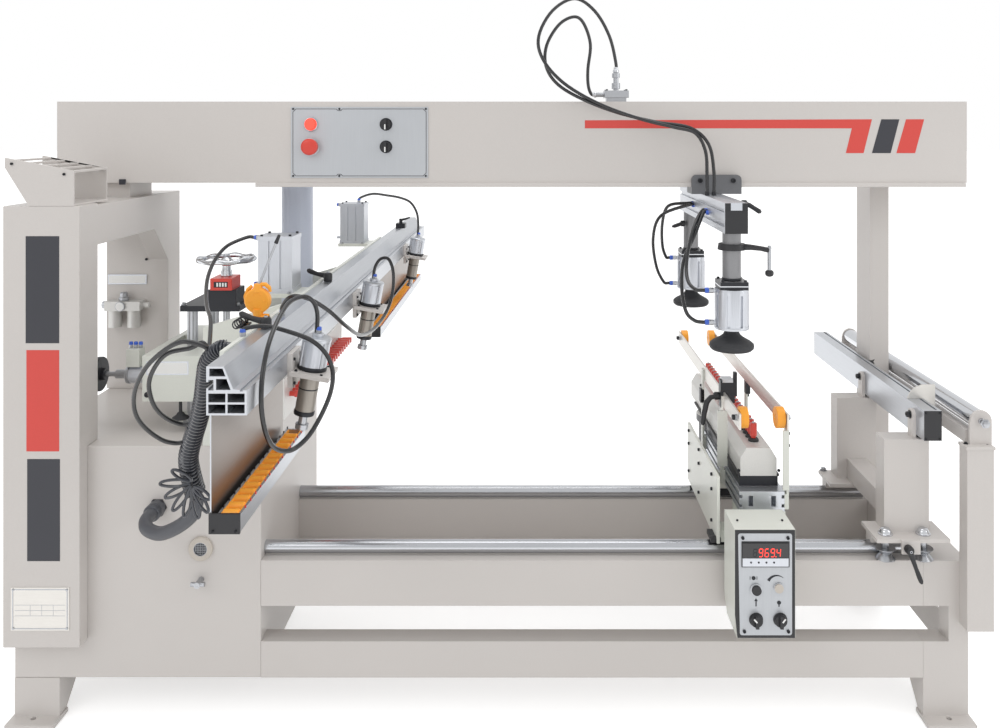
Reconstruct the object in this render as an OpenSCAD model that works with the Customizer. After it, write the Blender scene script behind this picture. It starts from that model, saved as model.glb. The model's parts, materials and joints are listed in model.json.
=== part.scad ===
/* [Base] */
// Length of the base over its end faces
base_len = 2524; // [2400:4:2700]
// Depth of the base over its corner legs
base_depth = 640; // [620:4:700]
// Height of the bed, the top face of its beams
bed_top = 422; // [410:2:440]
// Height of the bed beams
bed_beam_h = 120; // [90:2:140]
// Thickness of the bed beams from front to back
bed_beam_t = 60; // [40:2:80]
// Width of each leg
leg_w = 119; // [90:1:140]
// Thickness of each foot plate
foot_t = 12; // [8:1:20]
// How far a foot plate reaches past the base
foot_reach = 42; // [38:1:60]
// Radius of the floor bolt holes
foot_hole_r = 7; // [5:0.5:10]
// Lower face of the lower beams
low_beam_z = 112; // [90:2:130]
// Height of the lower beams
low_beam_h = 96; // [70:2:110]
// Wall of the welded box sections
wall = 5; // [3:0.5:8]

/* [Cabinet] */
// Width of the cabinet
cabinet_w = 652; // [600:2:700]
// Height of the cabinet's top face
cabinet_top = 725; // [700:1:750]

/* [Portal and beam] */
// Width of the portal column
portal_w = 200; // [160:2:230]
// Top of the portal arm
portal_top = 1359; // [1330:1:1380]
// Height of the portal arm
portal_arm_h = 108; // [80:2:130]
// Length of the top beam
beam_len = 2720; // [2640:4:2800]
// Depth of the top beam
beam_depth = 205; // [180:1:220]
// Height of the top beam
beam_h = 243; // [200:1:260]
// Gap between the portal arm and the top beam
beam_seat_h = 44; // [30:1:60]

/* [Work support] */
// Height of the work above the floor
work_z = 824; // [800:1:850]
// Diameter of the bed rails
rail_d = 35; // [30:1:40]
// Distance between the bed rails
rail_gap = 375; // [350:1:400]
// Diameter of the side roller
roller_d = 50; // [40:1:60]
// Diameter of the side roller's shaft
roller_shaft_d = 16; // [12:1:20]

/* [Heads] */
// Spindle pitch
pitch = 32; // [32:1:32]
// Number of spindles on a head
spindles = 21; // [15:1:21]
// Width of a spindle gearbox
gearbox_w = 98; // [80:1:110]
// Diameter of a drill chuck
chuck_d = 19; // [16:1:22]
// Diameter of the guide rods
guide_d = 25; // [20:1:30]
// Radial running clearance of guides and shafts
run_gap = 0.05; // [0.02:0.01:0.1]

/* [Fence] */
// Length of the fence extrusion
fence_len = 2965; // [2800:5:3100]
// Width of the fence extrusion
fence_w = 78; // [70:1:90]
// Height of the fence extrusion
fence_h = 94; // [90:1:100]
// Lower face of the fence extrusion
fence_z = 1014; // [1005:1:1030]
// Tilt of the fence clamps
clamp_tilt = 10; // [0:1:15]
// Diameter of a fence clamp's rod
clamp_rod_d = 20; // [16:1:24]

/* [Controls] */
// Width of the display box
display_w = 151; // [150:1:170]
// Height of the display box
display_h = 270; // [268:1:300]
// Diameter of a panel knob
knob_d = 30; // [26:1:34]

/* [Hidden] */
$fn = 48;
seat_gap = 0.3;

paint = [0.81, 0.79, 0.77];
green_paint = [0.80, 0.81, 0.77];
alu = [0.74, 0.76, 0.79];
black = [0.12, 0.12, 0.13];
orange = [0.96, 0.62, 0.16];
red = [0.80, 0.18, 0.12];

left = -base_len / 2;
right = base_len / 2;
front = -base_depth / 2;
back = base_depth / 2;
cabinet_right = left + cabinet_w;

// Box between two corners
module block(x, y, z) {
    translate([x[0], y[0], z[0]]) cube([x[1] - x[0], y[1] - y[0], z[1] - z[0]]);
}

// Box section along one axis, open at both ends
module section(x, y, z, t, along) {
    cut_x = along == "x" ? [x[0] - 1, x[1] + 1] : [x[0] + t, x[1] - t];
    cut_y = along == "y" ? [y[0] - 1, y[1] + 1] : [y[0] + t, y[1] - t];
    cut_z = along == "z" ? [z[0] - 1, z[1] + 1] : [z[0] + t, z[1] - t];
    difference() {
        block(x, y, z);
        block(cut_x, cut_y, cut_z);
    }
}

// Box section closed at both ends
module beam(x, y, z, t) {
    difference() {
        block(x, y, z);
        block([x[0] + t, x[1] - t], [y[0] + t, y[1] - t], [z[0] + t, z[1] - t]);
    }
}

// Cylinder from one end of a span to the other, along x, y or z
module rod_x(x, y, z, d) {
    translate([x[0], y, z]) rotate([0, 90, 0]) cylinder(h = x[1] - x[0], d = d);
}
module rod_y(x, y, z, d) {
    translate([x, y[0], z]) rotate([-90, 0, 0]) cylinder(h = y[1] - y[0], d = d);
}
module rod_z(x, y, z, d) {
    translate([x, y, z[0]]) cylinder(h = z[1] - z[0], d = d);
}

// Flat plate with an outline in the x-z plane
module plate_xz(points, y) {
    translate([0, y[1], 0]) rotate([90, 0, 0]) linear_extrude(y[1] - y[0]) polygon(points);
}

// Flat plate with an outline in the y-z plane
module plate_yz(points, x) {
    translate([x[0], 0, 0]) rotate([90, 0, 90]) linear_extrude(x[1] - x[0]) polygon(points);
}

// Base
bed_bottom = bed_top - bed_beam_h;
low_beam_top = low_beam_z + low_beam_h;
foot_y = -front + foot_reach - 30;
foot_x = right - leg_w / 2 + 3;
rear_bed_y = front + 400;
rail_front_y = front + 45;
rail_rear_y = rail_front_y + rail_gap;
rail_z = bed_top + rail_d / 2 + 0.5;
rail_len_right = right - 130;
tray_t = 3;
end_leg = 52;
saddle_gap = 0.1;

module foot(side, depth) {
    x0 = side > 0 ? right - leg_w : left;
    x1 = x0 + leg_w;
    y_out = depth * back;
    y_plate = depth * (back + foot_reach);
    gusset = 143;
    toe = 38;
    difference() {
        union() {
            block([x0, x1], [min(y_out, y_out - depth * toe), max(y_out, y_out - depth * toe)], [0, low_beam_z]);
            plate_yz([[y_out, foot_t], [y_out - depth * toe, foot_t], [y_out - depth * gusset, low_beam_z],
                [y_out, low_beam_z]], [x0, x1]);
            block([x0 - 4, x1 + 4], [min(y_plate, y_out - depth * toe), max(y_plate, y_out - depth * toe)],
                [0, foot_t]);
        }
        translate([side * foot_x, depth * foot_y, -1]) cylinder(h = foot_t + 2, r = foot_hole_r);
        translate([0, -depth * wall, 0])
            block([x0 + wall, x1 - wall], [min(y_out, y_out - depth * 200), max(y_out, y_out - depth * 200)],
                [foot_t, low_beam_z + 1]);
    }
}

module base_frame() {
    long_end = right - leg_w - seat_gap;
    color(paint) {
        for (side = [-1, 1], depth = [-1, 1]) foot(side, depth);
        for (y = [front, rear_bed_y]) beam([cabinet_right, long_end], [y, y + bed_beam_t], [bed_bottom, bed_top], wall);
        for (y = [front, back - bed_beam_t]) {
            beam([cabinet_right, long_end], [y, y + bed_beam_t], [low_beam_z, low_beam_top], wall);
            beam([right - leg_w, right], [y, y + bed_beam_t], [low_beam_z, low_beam_top], wall);
            block([right - end_leg, right], [y, y + bed_beam_t], [low_beam_top, bed_bottom]);
        }
        beam([right - leg_w, right], [front, back], [bed_bottom, bed_top], wall);
        block([right - wall, right], [front, back], [low_beam_z, low_beam_top]);
        for (y = [rail_front_y, rail_rear_y])
            difference() {
                block([cabinet_right, rail_len_right], [y - 7, y + 7], [bed_top, bed_top + 4]);
                rod_x([cabinet_right - 1, right], y, rail_z, rail_d + 2 * saddle_gap);
            }
        block([cabinet_right, long_end], [front + bed_beam_t + seat_gap, rear_bed_y - seat_gap],
            [bed_bottom, bed_bottom + tray_t]);
    }
}

module guide_rails() {
    color("silver")
        for (y = [rail_front_y, rail_rear_y]) rod_x([cabinet_right, rail_len_right], y, rail_z, rail_d);
}

// Cabinet, with its front flush with the bed
gland_x = cabinet_right - 273;
gland_z = 563;
port_x = cabinet_right - 158;

module cabinet() {
    color(paint)
        difference() {
            block([left, cabinet_right], [front, back], [low_beam_z, cabinet_top]);
            block([left + wall, cabinet_right - wall], [front + wall, back - wall],
                [low_beam_z + wall, cabinet_top - wall]);
        }
}

module air_fittings() {
    color("silver") {
        rod_y(gland_x, [front - 26, front], gland_z, 44);
        difference() {
            rod_y(port_x, [front - 8, front], 455, 61);
            rod_y(port_x, [front - 9, front + 1], 455, 34);
        }
        rod_y(port_x, [front - 34, front], 372, 16);
        rod_x([port_x - 18, port_x + 18], front - 26, 372, 12);
        // Filter and regulator on the rear column of the portal
        filter_x = left + 60;
        filter_y = back - 100;
        block([filter_x - 50, filter_x + 62], [filter_y - 50, filter_y], [985, 1014]);
        for (x = [filter_x - 26, filter_x + 34]) rod_z(x, filter_y - 25, [930, 985], 40);
        rod_x([filter_x + 62, filter_x + 84], filter_y - 25, 1000, 18);
    }
}

// Left portal
portal_front = front - 45;
portal_x = [left - 6, left - 6 + portal_w];
column_t = 102;
column_top = portal_top + 5;
rear_column_t = 100;
portal_foot_z = 216;

module left_portal() {
    color(paint) {
        section(portal_x, [portal_front, portal_front + column_t], [cabinet_top, column_top - wall], wall, "z");
        block(portal_x, [portal_front, portal_front + column_t], [column_top - wall, column_top]);
        block(portal_x, [portal_front, front], [portal_foot_z, cabinet_top]);
        section(portal_x, [portal_front + column_t - wall, back - rear_column_t + wall],
            [portal_top - portal_arm_h, portal_top], wall, "y");
        section(portal_x, [back - rear_column_t, back], [cabinet_top, portal_top - wall], wall, "z");
        block(portal_x, [back - rear_column_t, back], [portal_top - wall, portal_top]);
        plate_yz([[back - rear_column_t + 1, portal_top - portal_arm_h + 1],
            [back - rear_column_t - 110, portal_top - portal_arm_h + 1],
            [back - rear_column_t + 1, portal_top - portal_arm_h - 110]], [portal_x[1] - 60, portal_x[1]]);
        block([portal_x[0] + 40, portal_x[1] - 36], [20, 180], [portal_top, portal_top + beam_seat_h]);
    }
}

module slatted_tray() {
    tray_left = portal_x[0] + 5;
    tray_right = portal_x[1] - 15;
    tray_depth = 190;
    plate = 5;
    high = column_top + 126;
    low = column_top + 92;
    slats = 5;
    fall = (high - low) / (tray_right - tray_left);
    color(paint) {
        for (y = [portal_front, portal_front + tray_depth - plate])
            plate_xz([[tray_left, high], [tray_right, low], [tray_right, column_top], [tray_left + 62, column_top],
                [tray_left, high - 26]], [y, y + plate]);
        block([tray_left + 62, tray_right], [portal_front, portal_front + tray_depth], [column_top, column_top + plate]);
        for (i = [0 : slats - 1]) {
            x = tray_left + 2 + i * (tray_right - tray_left - 26) / (slats - 1);
            z = high - (x + 12 - tray_left) * fall;
            block([x, x + 22], [portal_front + 1, portal_front + tray_depth - 1], [z - 8, z - 3]);
        }
    }
}

module nameplate() {
    color("gainsboro")
        block([portal_x[0] + 22, portal_x[1] - 26], [portal_front - 2, portal_front], [262, 374]);
}

// Top beam
beam_front = -5;
beam_back = beam_front + beam_depth;
beam_z = portal_top + beam_seat_h;
beam_top = beam_z + beam_h;
beam_x = [left - 50, left - 50 + beam_len];
lip_x = [beam_x[0] + 595, beam_x[1] - 6];
lip_h = 12;
lip_y = [beam_front - 8, beam_front + 40];
air_block_x = 368;
air_block_y = beam_front + 100;
air_block_z = beam_top + 36;

module top_beam() {
    color(paint) {
        difference() {
            block(beam_x, [beam_front, beam_back], [beam_z, beam_top]);
            block([beam_x[0] + wall, beam_x[1] - wall], [beam_front + wall, beam_back - wall],
                [beam_z + wall, beam_top - wall]);
            rod_z(beam_x[0] + 400, beam_front + 100, [beam_z - 1, beam_z + wall + 1], 60);
            rod_y(lamp_x, [beam_front - 1, beam_front + wall + 1], row_low, 16 + 2 * run_gap);
        }
        block(lip_x, lip_y, [beam_z - lip_h, beam_z]);
    }
    // Air manifold on the top face
    color("silver") {
        block([air_block_x - 30, air_block_x + 30], [air_block_y - 25, air_block_y + 25],
            [beam_top + seat_gap, beam_top + 14]);
        block([air_block_x - 37, air_block_x + 37], [air_block_y - 32, air_block_y + 32], [beam_top + 14, air_block_z]);
        rod_z(air_block_x, air_block_y, [air_block_z, air_block_z + 56], 16);
        rod_z(air_block_x, air_block_y, [air_block_z + 6, air_block_z + 24], 26);
        rod_z(air_block_x, air_block_y, [air_block_z + 40, air_block_z + 54], 24);
        rod_x([air_block_x - 60, air_block_x - 37], air_block_y, beam_top + 24, 14);
    }
}

// Columns under and behind the beam
post_w = 60;
pipe_d = 100;
pipe_x = cabinet_right - 48;
pipe_y = back - 68;
pipe_foot_z = 940;

module beam_supports() {
    color(paint) {
        section([right - 68, right - 68 + post_w], [beam_back, back], [bed_top, beam_top - 90], 4, "z");
        block([pipe_x - 107, pipe_x - 37], [pipe_y - 40, pipe_y + 40], [cabinet_top, pipe_foot_z]);
        block([pipe_x - 107, pipe_x + pipe_d / 2], [pipe_y - 50, pipe_y + 42], [pipe_foot_z, pipe_foot_z + 15]);
    }
    color([0.66, 0.69, 0.74]) {
        difference() {
            rod_z(pipe_x, pipe_y, [pipe_foot_z + 15, beam_top - 86], pipe_d);
            rod_z(pipe_x, pipe_y, [pipe_foot_z + 15 - 1, beam_top - 92], pipe_d - 10);
        }
        difference() {
            block([pipe_x - 30, pipe_x + 30], [beam_back, pipe_y], [beam_z + 40, beam_top - 90]);
            rod_z(pipe_x, pipe_y, [beam_z, beam_top], pipe_d - 10);
        }
    }
}

// Control panel on the beam
panel_x = [left + 650, left + 1060];
panel_z = [beam_z + 15, beam_z + 227];
panel_t = 3;
panel_y = beam_front - panel_t;
lamp_x = panel_x[0] + 60;
selector_x = panel_x[1] - 126;
row_high = panel_z[0] + 160;
row_low = panel_z[0] + 93;

module control_panel() {
    color([0.62, 0.64, 0.66])
        difference() {
            block(panel_x, [panel_y, beam_front], panel_z);
            rod_y(lamp_x, [panel_y - 1, beam_front + 1], row_low, 16 + 2 * run_gap);
            for (z = [row_high, row_low]) rod_y(selector_x, [panel_y - 1, beam_front + 1], z, 10 + 2 * run_gap);
        }
}

module panel_lamp() {
    color("red") {
        rod_y(lamp_x, [panel_y - 6, panel_y], row_high, 38);
        rod_y(lamp_x, [panel_y - 18, panel_y - 6], row_high, 30);
    }
}

module stop_button() {
    color(red) {
        rod_y(lamp_x, [panel_y - 14, beam_front - 0.3], row_low, 16);
        rod_y(lamp_x, [panel_y - 24, panel_y - 14], row_low, 49);
    }
}

module selector(z) {
    color(black) {
        rod_y(selector_x, [panel_y - 6, beam_front - 0.3], z, 10);
        rod_y(selector_x, [panel_y - 12, panel_y - 0.3], z, knob_d);
        block([selector_x - 4, selector_x + 4], [panel_y - 22, panel_y - 11], [z - knob_d / 2, z + knob_d / 2]);
    }
}

// Fence: extrusion, tracks and clamps
fence_x = cabinet_right + 89;
fence_y = front - 665;
fence_right = fence_x + fence_w;
fence_top = fence_z + fence_h;
skin = 4;
track_w = 47;
track_h = 37;
track_x = fence_x + 17;
back_t = 3;
near_track = [fence_y + 3, fence_y + 517];
far_track = [fence_y + 1668, fence_y + fence_len - 21];
clamp_y = [fence_y + 335, fence_y + 1095, fence_y + 2230];

// Cross-section of the fence: shell, cells and slots
module fence_profile() {
    difference() {
        polygon([[0, 0], [fence_w, 0], [fence_w, 48], [52, 50], [34, fence_h], [0, fence_h]]);
        translate([skin, skin]) square([fence_w / 2 - 1.5 * skin, 17]);
        translate([fence_w / 2 + skin / 2, skin]) square([fence_w / 2 - 1.5 * skin, 17]);
        translate([skin, skin + 21]) square([fence_w / 2 - 1.5 * skin, 17]);
        translate([fence_w / 2 + skin / 2, skin + 21]) square([fence_w / 2 - 1.5 * skin, 17]);
        translate([-1, 52]) square([7, 12]);
        translate([skin, 48]) square([10, 20]);
        polygon([[19, 49], [47, 49], [39, 70], [19, 70]]);
        polygon([[skin + 2, 75], [37, 75], [31.5, fence_h - 4], [skin + 2, fence_h - 4]]);
        translate([fence_w - 13, 46]) square([6, 6]);
    }
}

module fence_rail() {
    color(alu)
        translate([fence_x, fence_y + fence_len, fence_z]) rotate([90, 0, 0]) linear_extrude(fence_len) fence_profile();
}

module fence_brackets() {
    upright_t = 14;
    foot_left = cabinet_right - 155;
    foot_right = cabinet_right - 85;
    color(green_paint) {
        difference() {
            block([fence_x - 10, fence_x], [fence_y + 105, fence_y + 2085], [fence_z - 14, fence_top + 4]);
            rod_x([fence_x - 11, fence_x + 1], fence_y + 1024, fence_top - 12, 18);
        }
        for (y = [front + 2, back - 16])
            plate_xz([[foot_left, cabinet_top], [foot_right, cabinet_top], [foot_right, pipe_foot_z + 20],
                [fence_x - 9, pipe_foot_z + 20], [fence_x - 9, fence_top], [foot_left, fence_top - 70]],
                [y, y + upright_t]);
        for (y = cylinder_y)
            block([cylinder_x - 55, fence_x - 9], [y - 55, y + 55], [fence_top - 18, fence_top - 6]);
    }
}

cylinder_x = cabinet_right - 5;
cylinder_y = [front + 200, front + 1320];

module fence_cylinders() {
    color([0.72, 0.74, 0.76])
        for (y = cylinder_y) {
            block([cylinder_x - 50, cylinder_x + 50], [y - 50, y + 50], [fence_top - 6, fence_top + 6]);
            difference() {
                block([cylinder_x - 48, cylinder_x + 48], [y - 48, y + 48], [fence_top + 6, fence_top + 142]);
                for (x = [-16, 16])
                    block([cylinder_x + x - 3, cylinder_x + x + 3], [y - 49, y - 44], [fence_top + 5, fence_top + 143]);
            }
            block([cylinder_x - 50, cylinder_x + 50], [y - 50, y + 50], [fence_top + 142, fence_top + 154]);
            rod_x([cylinder_x - 66, cylinder_x - 47], y - 20, fence_top + 148, 12);
            rod_x([cylinder_x - 66, cylinder_x - 47], y - 20, fence_top + 16, 12);
        }
}

module roller_tracks() {
    for (span = [near_track, far_track]) {
        color(alu) {
            difference() {
                block([track_x, track_x + track_w], span, [work_z - track_h, work_z - 4]);
                block([track_x + 6, track_x + track_w - 6], [span[0] + 6, span[1] - 6], [work_z - 19, work_z]);
            }
            block([fence_x + 6, fence_x + 6 + back_t], span, [work_z - track_h, fence_z]);
            block([fence_x + 6, track_x + 1], span, [work_z - track_h, work_z - track_h + 8]);
        }
    }
}

// Small rollers in each track, joined by their side strips
module track_rollers() {
    step = 34;
    strip_w = 2.5;
    strip_x = [track_x + 6 + seat_gap, track_x + track_w - 6 - seat_gap - strip_w];
    color(orange)
        for (span = [near_track, far_track]) {
            for (y = [span[0] + 22 : step : span[1] - 20])
                rod_x([strip_x[0] + strip_w - 0.1, strip_x[1] + 0.1], y, work_z - 9.3, 18.6);
            for (x = strip_x)
                block([x, x + strip_w], [span[0] + 8, span[1] - 8], [work_z - 19 + seat_gap, work_z - 4]);
        }
}

// A fence clamp is drawn about its plate centre, with its axis along z, and then tilted
clamp_x = fence_right + 45;
clamp_z = 1011;
module at_clamp(y) {
    translate([clamp_x, y, clamp_z]) rotate([0, clamp_tilt, 0]) children();
}

module clamp_bodies() {
    for (y = clamp_y) {
        color("whitesmoke") {
            block([fence_right, fence_right + 12], [y - 40, y + 40], [fence_z - 30, fence_z + 46]);
            at_clamp(y)
                difference() {
                    translate([-39, -51, -5]) cube([90, 102, 10]);
                    translate([0, 0, -6]) cylinder(h = 12, d = 40);
                }
        }
        at_clamp(y)
            color(alu)
                difference() {
                    union() {
                        translate([0, 0, -100]) cylinder(h = 96, d = 44);
                        translate([0, 0, 5]) cylinder(h = 74, d = 64);
                        translate([0, 0, -6]) cylinder(h = 12, d = 42);
                        translate([0, 0, 79]) cylinder(h = 10, d = 26);
                    }
                    translate([0, 0, -101]) cylinder(h = 160, d = clamp_rod_d + 2 * run_gap);
                }
    }
}

module clamp_rod(y) {
    at_clamp(y)
        color("dimgray") {
            translate([0, 0, -126]) cylinder(h = 150, d = clamp_rod_d);
            translate([0, 0, -133]) cylinder(h = 12, d = 30);
        }
}

// Hand lever on a round hub, with its arm along x
module hand_lever(length, hub_d, hub_h) {
    color(black) {
        cylinder(h = hub_h, d = hub_d);
        translate([0, 0, hub_h - 8])
            hull() {
                cylinder(h = 8, d = hub_d * 0.7, $fn = 32);
                translate([length, 0, 6]) sphere(d = 11, $fn = 24);
            }
    }
}

lever_y = [clamp_y[0] + 2, clamp_y[1] - 110];
lever_x = fence_x + 18;
module fence_lever(y) {
    translate([lever_x, y, fence_top + seat_gap]) rotate([0, 0, 160]) hand_lever(72, 26, 24);
}

// Side roller and its frame
roller_x = right + 22;
roller_z = work_z - roller_d / 2;
roller_y = [portal_front + 28, back + 320];
rail_box_z = [roller_z - 65, roller_z - 31];

module roller_frame() {
    post_x = [roller_x - 46, roller_x + 24];
    ear_t = 8;
    color(paint) {
        block(post_x, [portal_front, front], [258, roller_z - 61]);
        block([post_x[0] - 3, post_x[1] + 3], [portal_front - 2, front], [roller_z - 69, roller_z - 61]);
        block([right - 8, right + 22], [front, roller_y[1] + 20], rail_box_z);
        for (y = [roller_y[0] - ear_t - seat_gap, roller_y[1] + seat_gap])
            difference() {
                union() {
                    block([roller_x - 30, roller_x + 28], [y, y + ear_t], [roller_z - 61, roller_z]);
                    rod_y(roller_x, [y, y + ear_t], roller_z, 56);
                }
                rod_y(roller_x, [y - 1, y + ear_t + 1], roller_z, roller_shaft_d + 2 * run_gap);
            }
    }
}

module side_roller() {
    color("silver") {
        rod_y(roller_x, roller_y, roller_z, roller_d);
        rod_y(roller_x, [roller_y[0] - 14, roller_y[1] + 14], roller_z, roller_shaft_d);
    }
}

// Stand that slides on the bed
stand_x = right - 155;
stand_plate_z = [rail_z + 40, rail_z + 50];
stand_post = 120;
bar_w = 47;
bar_h = 79;
bar_x = [stand_x + 30, stand_x + 30 + bar_w];
bar_y = [front - 16, front + 915];
bar_z = work_z - bar_h;
stand_top = bar_z - 9;
wheel_d = 52;
wheel_groove = 13;
wheel_half = 14;
wheel_y = rail_front_y - (wheel_d / 2 - wheel_groove) - (rail_d / 2 + seat_gap) * sqrt(2);
wheel_x = [stand_x - 62, stand_x + 38];
wheel_z = [rail_z - wheel_half, rail_z + wheel_half];
axle_d = 12;

module saddle(x, y) {
    difference() {
        block(x, [y - 11, y + 26], [rail_z + 3, stand_plate_z[0]]);
        rod_x([x[0] - 1, x[1] + 1], y, rail_z, rail_d + 2 * seat_gap);
    }
}

module stand_frame() {
    color(paint) {
        for (y = [rail_front_y, rail_rear_y]) {
            block([stand_x - 97, stand_x + 96], [y - 72, y + 42], stand_plate_z);
            section([stand_x - 60, stand_x + 60], [y - 25, y + 35], [stand_plate_z[1], stand_top], 4, "z");
            block([stand_x - 60, stand_x + 60], [y - 25, y + 35], [stand_top - 4, stand_top]);
            block([bar_x[0] - 10, bar_x[0]], [y - 14, y + 18], [stand_top, bar_z + 50]);
            rod_x([bar_x[0] - 10, bar_x[0]], y + 2, bar_z + 50, 32);
            for (x = [bar_x[0] + 12, bar_x[1] - 12]) rod_z(x, y - 4, [stand_top - 1, bar_z], 10);
            saddle([stand_x - 90, stand_x + 90], y);
        }
        section([stand_x - 30, stand_x + 30], [rail_front_y + 35 + seat_gap, rail_rear_y - 25 - seat_gap],
            [stand_plate_z[1] + seat_gap, stand_plate_z[1] + 60], 4, "y");
        block([stand_x - 34, stand_x + 14], [rail_front_y - 80, rail_front_y - 72],
            [stand_plate_z[0] - 26, stand_plate_z[1]]);
    }
    color("silver")
        for (x = wheel_x) {
            rod_z(x, wheel_y, [wheel_z[0] - 3, stand_plate_z[1] + 12], axle_d);
            rod_z(x, wheel_y, [wheel_z[0] - 2.3, wheel_z[0] - seat_gap], 20);
            rod_z(x, wheel_y, [wheel_z[1] + seat_gap, stand_plate_z[0]], 20);
            rod_z(x, wheel_y, [stand_plate_z[1], stand_plate_z[1] + 9], 22, $fn = 6);
        }
}

module v_wheel(x) {
    color("dimgray")
        translate([x, wheel_y, wheel_z[0]])
            difference() {
                cylinder(h = wheel_z[1] - wheel_z[0], d = wheel_d);
                rotate_extrude()
                    translate([wheel_d / 2, (wheel_z[1] - wheel_z[0]) / 2])
                        polygon([[1, -wheel_groove - 1], [-wheel_groove, 0], [1, wheel_groove + 1]]);
                translate([0, 0, -1]) cylinder(h = wheel_z[1] - wheel_z[0] + 2, d = axle_d + 2 * run_gap);
            }
}

stand_lever_x = stand_x - 20;
module stand_lever() {
    translate([stand_lever_x, rail_front_y - 80 - seat_gap, stand_plate_z[0] - 9])
        rotate([90, 72, 0]) hand_lever(84, 22, 20);
}

module stand_bar() {
    color(alu)
        difference() {
            block(bar_x, bar_y, [bar_z, work_z]);
            for (x = [bar_x[0] + 8.5, bar_x[1] - 20.5])
                block([x, x + 12], [bar_y[0] + 6, bar_y[1] + 1], [bar_z + 6, work_z - 12]);
            block([bar_x[1] - 14, bar_x[1] - 8], [bar_y[0] + 6, bar_y[1] + 1], [work_z - 8, work_z + 1]);
            block([bar_x[1] - 6, bar_x[1] + 1], [bar_y[0] + 6, bar_y[1] + 1], [work_z - 44, work_z - 34]);
        }
    color(black) block(bar_x, [bar_y[0] - 3, bar_y[0]], [bar_z, work_z]);
}

stop_y = front + 90;
module bar_stop() {
    color("whitesmoke") {
        plate_xz([[bar_x[0] + 2, work_z + seat_gap], [bar_x[0] + 10, work_z + 18], [bar_x[0] + 24, work_z + 31],
            [bar_x[0] + 42, work_z + 38], [bar_x[1] + 30, work_z + 38], [bar_x[1] + 30, work_z - 34],
            [bar_x[1] + seat_gap, work_z - 34], [bar_x[1] + seat_gap, work_z + seat_gap]], [stop_y, stop_y + 6]);
        block([bar_x[1] + seat_gap, bar_x[1] + 8], [stop_y, stop_y + 40], [work_z - 56, work_z - 22]);
    }
    translate([bar_x[1] + 8, stop_y + 22, work_z - 40]) rotate([0, 90, 0]) rotate([0, 0, 20]) hand_lever(70, 20, 16);
}

// Boring carriage on the bed
head_x = right - 544;
arm_gap = 97;
arm_x = [head_x - arm_gap / 2, head_x + arm_gap / 2];
arm_y = [front - 16, front + 978];
arm_wheel_d = 56;
arm_wheel_w = 22;
arm_t = 5;
arm_wheel_y = [arm_y[0] + 34, arm_y[1] - 34];
head_len = spindles * pitch + 83;
head_mid = front + 422;
head_y = [head_mid - head_len / 2, head_mid + head_len / 2];
carriage_z = rail_z + 24;
slot_z = 550;
plinth_z = 602;
gearbox_z = [629.3, 705];
feed_rod_y = [head_mid - 190, head_mid - 60];
rod_reach = 130;
motor_y = head_mid + 170;
motor_d = 136;

module carriage_base() {
    color(black) {
        for (y = [rail_front_y, rail_rear_y])
            difference() {
                block([head_x - 80, head_x + 80], [y - 34, y + 34], [rail_z, carriage_z]);
                rod_x([head_x - 81, head_x + 81], y, rail_z, rail_d + 2 * seat_gap);
            }
        difference() {
            block([head_x - 52, head_x + 52], [head_y[0], motor_y - 90], [plinth_z, plinth_z + 27]);
            for (y = feed_rod_y) rod_z(head_x, y, [plinth_z - 1, plinth_z + 28], guide_d + 2 * run_gap);
        }
    }
    color(green_paint) {
        block([head_x - 62, head_x + 62], [rail_front_y - 40, rail_front_y + 40], [carriage_z, slot_z]);
        block([head_x - 62, head_x + 62], [rail_rear_y - 40, rail_rear_y + 40], [carriage_z, slot_z]);
        block([head_x - 120, head_x - 112], [rail_front_y - 40, rail_rear_y + 40], [carriage_z, plinth_z + 40]);
        for (y = [rail_front_y, rail_rear_y])
            block([head_x - 113, head_x - 61], [y - 30, y + 30], [carriage_z, carriage_z + 30]);
    }
    color(alu)
        difference() {
            block([head_x - 60, head_x + 60], [head_y[0] - 38, motor_y - 90], [slot_z, plinth_z]);
            for (side = [-1, 1], z = [slot_z + 10, slot_z + 34])
                block([head_x + side * 58 - 6, head_x + side * 58 + 6], [head_y[0] - 39, motor_y], [z, z + 8]);
            for (x = [-36, 24]) block([head_x + x, head_x + x + 12], [head_y[0] - 39, head_y[0] - 4], [slot_z + 12, slot_z + 40]);
            for (y = feed_rod_y) rod_z(head_x, y, [slot_z - 1, plinth_z + 1], guide_d + 2 * run_gap);
        }
}

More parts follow.
